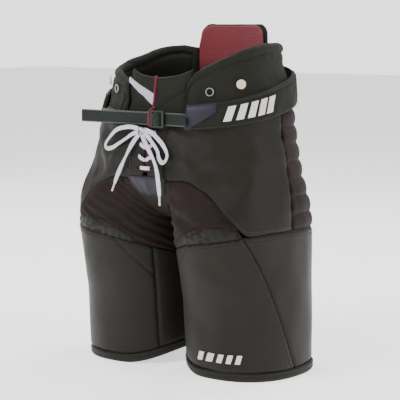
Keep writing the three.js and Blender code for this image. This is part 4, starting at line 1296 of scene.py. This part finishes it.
# The kidney pads' top edges, as [degrees, height]; the right one stands lower at its side.
KIDNEY_TOPS = {
    "left": np.array([
        [-72, 440], [-71.5, 458], [-70, 476], [-67, 486], [-62, 494], [-54, 503], [-44, 512],
        [-33, 521], [-20, 528], [-5, 532], [20, 532], [45, 528], [64, 521],
    ]),
    "right": np.array([
        [-72, 440], [-71.5, 450], [-70, 462], [-66, 471], [-60, 478], [-50, 486], [-35, 492],
        [-20, 498], [-3, 506], [14, 515], [35, 524], [50, 526], [64, 521],
    ]),
}


def pad_low(degrees):
    """Height of a pad's lower edge, just above the outer cloth's top."""
    return shell_top(waist(degrees, BELT_Z)[..., 1]) + 0.3


class HOCKEY_OT_pads(bpy.types.Operator):
    """Kidney pads, the spine pad and its red mesh lining."""

    bl_idname = "hockey_pants.pads"
    bl_label = "Pads"

    def execute(self, context):
        for side, table in KIDNEY_TOPS.items():
            def kidney_top(degrees, table=table):
                return np.interp(degrees, table[:, 0], table[:, 1])

            padded_band(f"{side}_kidney_cushion", side, (PAD_FRONT, PAD_BACK), pad_low, kidney_top,
                        -1.0, PAD_THICK - 2, "pad_cover", [f"{side}_kidney_pad"], 4.0,
                        grooves=[(15, 3.4, 2.6)], columns=120, rows=34, side_blend=True,
                        seed=82 if side == "left" else 84, rough=1.1)

        def spine_top(edge, top, corner):
            """A level top with a quarter ellipse at each corner."""
            def at(degrees):
                turn = clamp01((90 - np.abs(degrees - 90) - edge) / corner)
                return mix(top - 24, top, np.sqrt(1 - (1 - turn) ** 2))
            return at

        def spine_low(degrees):
            return pad_low(90) + 0 * degrees

        padded_band("spine_cushion", "left", (SPINE_EDGE + 1, 179 - SPINE_EDGE), spine_low,
                    spine_top(SPINE_EDGE, SPINE_TOP_Z, 11), 0, SPINE_THICK - 1, "pad_cover",
                    ["spine_pad"], 3.0, grooves=[(12, 2.0, 2.2)], seed=86, columns=80, rows=36,
                    taper=0.2)
        padded_band("spine_mesh", "left", (SPINE_EDGE + 2.2, 177.8 - SPINE_EDGE), spine_low,
                    spine_top(SPINE_EDGE + 1.2, SPINE_TOP_Z - 3, 12), -SPINE_THICK - 0.4, 3,
                    "red_mesh", ["spine_pad_lining"], 1.5, edge=3.0, taper=0.2, seed=88,
                    columns=70, rows=34, rough=0.5)
        return {"FINISHED"}


class HOCKEY_OT_belly(bpy.types.Operator):
    """The belly panel with its pale tape and the red piping down the middle."""

    bl_idname = "hockey_pants.belly"
    bl_label = "Belly"

    def execute(self, context):
        def top(x):
            return BELLY_TOP_Z + BELLY_RISE * (x / BELLY_HALF) ** 2

        def band(x, z, out):
            """A point in front of the belly, out from the shell."""
            at = middle_point(x, z, 0, 0)
            at[..., 1] -= out
            return at

        s, t = grid(64, 30)
        x = mix(-BELLY_HALF, BELLY_HALF, s)
        z = mix(BELLY_LOW_Z - BELLY_TUCK, top(x), t)
        base = band(x, z, 0)
        along, up = lengths(base, 0), lengths(base, 1)
        distance = np.minimum(np.minimum(along, along[-1:] - along), up[:, -1:] - up)
        fall = 3.0 * (1 - np.sqrt(np.maximum(0, 1 - clamp01(1 - distance / 6) ** 2)))
        outer = band(x, z, -3.9) + np.stack([0 * x, fall, 0 * x], -1)
        inner = band(x, z, -10) - np.stack([0 * x, fall, 0 * x], -1)
        piece = closed_sheet("belly_cushion", outer, inner, LOOKS["pad_cover"])
        inflate(piece, 2.0)
        # A crease slants up across the panel's left half.
        line = np.stack([x, z], -1)
        start, end = np.array([19.7, 436.3]), np.array([56.1, 456.8])
        way = (end - start) / np.linalg.norm(end - start)
        offset = (line - start) @ np.array([-way[1], way[0]])
        along = (line - start) @ way
        crease = -2.4 * np.exp(-(offset / 2.6) ** 2) * clamp01(1 - np.abs(along - 21) / 34) ** 0.5
        relief = crease + 0.8 * ripples(base, 34, 91) - 1.4 * np.exp(-((distance - 7) / 1.6) ** 2)
        press(piece, np.concatenate([relief.ravel(), 0 * relief.ravel()]))
        subdivide(piece)
        finish_piece(piece, "pad_cover", "hips", "belly_panel")

        s, t = grid(40, 8)
        x = mix(-63.5, -2.6, s)
        z = mix(mix(469, 432, s), mix(477, 451, s), t)
        edge = 1 - np.abs(2 * t - 1) ** 6
        raise_by = -1.2 + 0.7 * edge + 0.3 * ripples(band(x, z, 0), 20, 92)
        piece = closed_sheet("belly_tape", band(x, z, raise_by), band(x, z, -4.5),
                             LOOKS["white_tape"])
        finish_piece(piece, "satin_trim", "hips")

        heights = np.linspace(BELLY_LOW_Z + 3, BELLY_TOP_Z + 1, 49)
        path = band(0 * heights - 2.5, heights, 0)
        path[:, 1] += 1.6
        # Its lower end stands in front of the strap.
        over = [(0, -119, 429), (4, -131, 427.5), (5.8, -138.2, 424), (5.8, -138.6, 414),
                (5.4, -138.4, 405), (5, -135, 401.5), (5, -129, 401)]
        path = curve_through(np.concatenate([path[::-6], over]), 1.2)
        turn = np.linspace(0, 2 * np.pi, 16, endpoint=False)
        piece = swept("belly_trim", path, np.stack([2.3 * np.cos(turn), 1.9 * np.sin(turn)], -1),
                      (0, -1, 0), LOOKS["red_piping"])
        finish_piece(piece, "red_piping", "hips", "belly_piping")
        return {"FINISHED"}


# ------------------------------------------------------------------ belt
def belt_point(degrees, out, share):
    """A point of the belt, out from the waist, at a share from -1 to 1 of its half height."""
    y = waist(degrees, BELT_Z)[..., 1]
    half = BELT_HALF + BELT_FLARE * y
    return waist(degrees, belt_middle(y) + half * share, -out)


class HOCKEY_OT_belt(bpy.types.Operator):
    """Padded belt covers, the satin wedge and the printed bars."""

    bl_idname = "hockey_pants.belt"
    bl_label = "Belt covers"

    def execute(self, context):
        for side, front in (("left", LEFT_COVER_FRONT), ("right", RIGHT_COVER_FRONT)):
            s, t = grid(130 if side == "left" else 105, 22)
            angle, share = mix(front, COVER_BACK, s), 2 * t - 1
            base = belt_point(angle, 0, share)
            along = lengths(base, 0)
            edge = clamp01(1 - np.minimum(along, along[-1:] - along) / 5)
            crown = np.sqrt(np.maximum(0, 1 - np.abs(share) ** 5)) \
                * np.sqrt(np.maximum(0, 1 - 0.8 * edge ** 2))
            relief = 0.8 * ripples(base, 30, 101) + 0.5 * ripples(base, 11, 102, (1, 1, 3))
            relief = relief - 0.9 * np.exp(-((np.abs(share) - 0.8) / 0.06) ** 2)
            outer = belt_point(angle, 1.5 + crown * (7.4 + relief), share)
            inner = belt_point(angle, 1.3 + 0 * share, share)
            piece = closed_sheet(f"{side}_belt_casing", outer, inner, LOOKS["pad_cover"], side)
            subdivide(piece)
            finish_piece(piece, "pad_cover", "hips", f"{side}_belt_cover")
            normal = normals(outer)
            for row, column in enumerate((2, 20)):
                stitch_row(f"{side}_casing_stitch_{row + 1}", outer[:, column]
                           + normal[:, column] * 1.0, normal[:, column], "hips", side)

        def overlay(name, near, far, low, high, slot, look, nodes=(), lean_by=0.0, cut=0.0):
            """A thin layer on the left cover that follows its crown."""
            s, t = grid(40, 24)
            share = mix(low, high, t)
            edge = far - cut * clamp01(0.25 - share)
            angle = mix(near, edge, s) + lean_by * (share - low)
            crown = np.sqrt(np.maximum(0, 1 - np.abs(share) ** 5))
            face = 1.5 + crown * 7.6 + 0.9
            rim = np.minimum(np.minimum(s, 1 - s), np.minimum(t, 1 - t))
            face = face + 0.5 * np.sqrt(clamp01(rim / 0.08))
            piece = closed_sheet(name, belt_point(angle, face, share),
                                 belt_point(angle, face - 3, share), LOOKS[look])
            finish_piece(piece, slot, "hips", *nodes)

        overlay("cover_wedge", LEFT_COVER_FRONT + 0.8, LEFT_COVER_FRONT + 19, -0.93, 0.93,
                "satin_trim", "satin_trim", ["belt_cover_patch"], cut=14.5)
        # Generic slanted bars stand where a printed name would be.
        for count, start in enumerate(BELT_BARS):
            overlay(f"belt_bar_{count + 1}", start, start + 5.2, -0.5, 0.56, "nylon_shell",
                    "mark", lean_by=3.2)
        for count in range(5):
            s, t = grid(8, 10)
            z = mix(30, 44, t) + 0 * s
            u = 0.215 + 0.025 * count + 0.014 * s + 0.008 * t
            base = skin(u, z)
            normal = normals(base)
            piece = closed_sheet(f"leg_bar_{count + 1}", base + normal * 2.4, base - normal * 1.5,
                                 LOOKS["mark"])
            finish_piece(piece, "nylon_shell", "left_leg")
        return {"FINISHED"}


# ------------------------------------------------------------------ strap and hardware
def strap_angle(x):
    """Angle of a point of the strap's arc from its x, by the arc cosine."""
    return -np.arccos((x - STRAP_X) / STRAP_RADIUS)


class HOCKEY_OT_strap(bpy.types.Operator):
    """The webbing strap, its turn over the buckle's bar, and its stitched end."""

    bl_idname = "hockey_pants.strap"
    bl_label = "Strap"

    def execute(self, context):
        section = flat_section(WEBBING, 1.7, 28)
        edges = []
        cover_end = -float(belt_point(np.array(float(RIGHT_COVER_FRONT)), 6.2, np.array(-0.5))[0])
        angle = np.linspace(strap_angle(22), strap_angle(cover_end + 5), 90)
        radius = STRAP_RADIUS - WEBBING_SINK
        arc = np.stack([STRAP_X + radius * np.cos(angle), STRAP_Y + radius * np.sin(angle),
                        STRAP_Z + 0 * angle], -1)
        outward = arc - np.array([STRAP_X, STRAP_Y, STRAP_Z])
        edges.append(("sewn", arc[1:-1], outward[1:-1], "hips"))
        finish_piece(swept("sewn_webbing", arc, section, outward, LOOKS["webbing"]), "webbing",
                     "hips", "strap_sewn_end")
        for name, near, far, body in (("tail_webbing", 27, -142, "strap_tail"),
                                      ("anchor_webbing", 76, 29, "hips")):
            share = np.linspace(0, 1, 90)
            path = np.stack([mix(near, far, share), TAIL_Y + WEBBING_SINK + 0 * share,
                             STRAP_Z + 0 * share], -1)
            node = "strap_tail" if "tail" in name else "strap_anchor"
            edges.append((node, path[1:-1], (0, -1, 0), body))
            finish_piece(swept(name, path, section, (0, -1, 0), LOOKS["webbing"]), "webbing", body,
                         node)
        # The edge cords are real, but their lighter colour is a painted highlight along each edge of
        # the webbing.
        for name, path, outward, body in edges:
            for row, rise in enumerate((-SELVEDGE_RISE, SELVEDGE_RISE)):
                ring = np.linspace(0, 2 * np.pi, 8, endpoint=False)
                cord = SELVEDGE_RADIUS * np.stack([np.cos(ring), np.sin(ring)], -1)
                finish_piece(swept(f"{name}_edge_{row + 1}", path + (0, 0, rise), cord, outward,
                                   LOOKS["webbing_edge_highlight"]), "webbing", body)
        turn = curve_through([(31, -134.6, STRAP_Z), (29, -137, STRAP_Z), (27.2, -140.4, STRAP_Z),
                              (23.5, -141.2, STRAP_Z), (17.5, -141.2, STRAP_Z),
                              (15.2, -140.2, STRAP_Z), (14.6, -137, STRAP_Z),
                              (14, -135, STRAP_Z)], 0.8)
        centre = np.array([20.5, -136, STRAP_Z])
        finish_piece(swept("webbing_turn", turn, flat_section(WEBBING - 0.6, 1.5, 28),
                           turn - centre, LOOKS["webbing"]), "webbing", "hips")
        return {"FINISHED"}


class HOCKEY_OT_hardware(bpy.types.Operator):
    """Finishes for the plates, foams, aglets, rings, buttons and the buckle."""

    bl_idname = "hockey_pants.hardware"
    bl_label = "Hardware"

    def execute(self, context):
        finishes = {
            "buckle_plastic": ["ladder_buckle"],
            "guard_plastic": ["left_thigh_guard_plate", "right_thigh_guard_plate",
                              "tailbone_guard", "left_hip_guard", "right_hip_guard"],
            "foam": ["left_thigh_foam", "right_thigh_foam"],
            "steel": ["left_snap_ring", "right_snap_ring"],
            "cream_plastic": ["left_suspender_button", "right_suspender_button", "left_aglet",
                              "right_aglet"],
        }
        for look, names in finishes.items():
            for name in names:
                node = bpy.data.objects[name]
                if not node.material_slots:
                    node.data.materials.append(LOOKS[look])
                for slot in node.material_slots:
                    slot.material = LOOKS[look]
        return {"FINISHED"}


class HOCKEY_PT_panel(bpy.types.Panel):
    """Lists the steps that build the pants."""

    bl_idname = "HOCKEY_PT_panel"
    bl_label = "Hockey Pants"
    bl_space_type = "VIEW_3D"
    bl_region_type = "UI"
    bl_category = "Hockey Pants"

    def draw(self, context):
        for step in STEPS:
            self.layout.operator(step.bl_idname)
        for name in HockeyPantsSizes.__annotations__:
            self.layout.prop(context.scene.hockey_pants_sizes, name)
        for name in HockeyPantsColours.__annotations__:
            self.layout.prop(context.scene.hockey_pants_colours, name)


STEPS = [HOCKEY_OT_stage, HOCKEY_OT_lacing, HOCKEY_OT_legs, HOCKEY_OT_hips, HOCKEY_OT_middle,
         HOCKEY_OT_pads, HOCKEY_OT_belly, HOCKEY_OT_belt, HOCKEY_OT_strap, HOCKEY_OT_hardware]
CLASSES = [HockeyPantsSizes, HockeyPantsColours, *STEPS, HOCKEY_PT_panel]


def register():
    """Adds the classes and the two groups of settings."""
    for made in CLASSES:
        bpy.utils.register_class(made)
    bpy.types.Scene.hockey_pants_sizes = bpy.props.PointerProperty(type=HockeyPantsSizes)
    bpy.types.Scene.hockey_pants_colours = bpy.props.PointerProperty(type=HockeyPantsColours)


def unregister():
    """Removes what register adds."""
    del bpy.types.Scene.hockey_pants_colours
    del bpy.types.Scene.hockey_pants_sizes
    for made in reversed(CLASSES):
        bpy.utils.unregister_class(made)


def main():
    """Builds every piece in order."""
    register()
    for step in ("stage", "lacing", "legs", "hips", "middle", "pads", "belly", "belt", "strap",
                 "hardware"):
        getattr(bpy.ops.hockey_pants, step)()


if __name__ == "__main__":
    main()
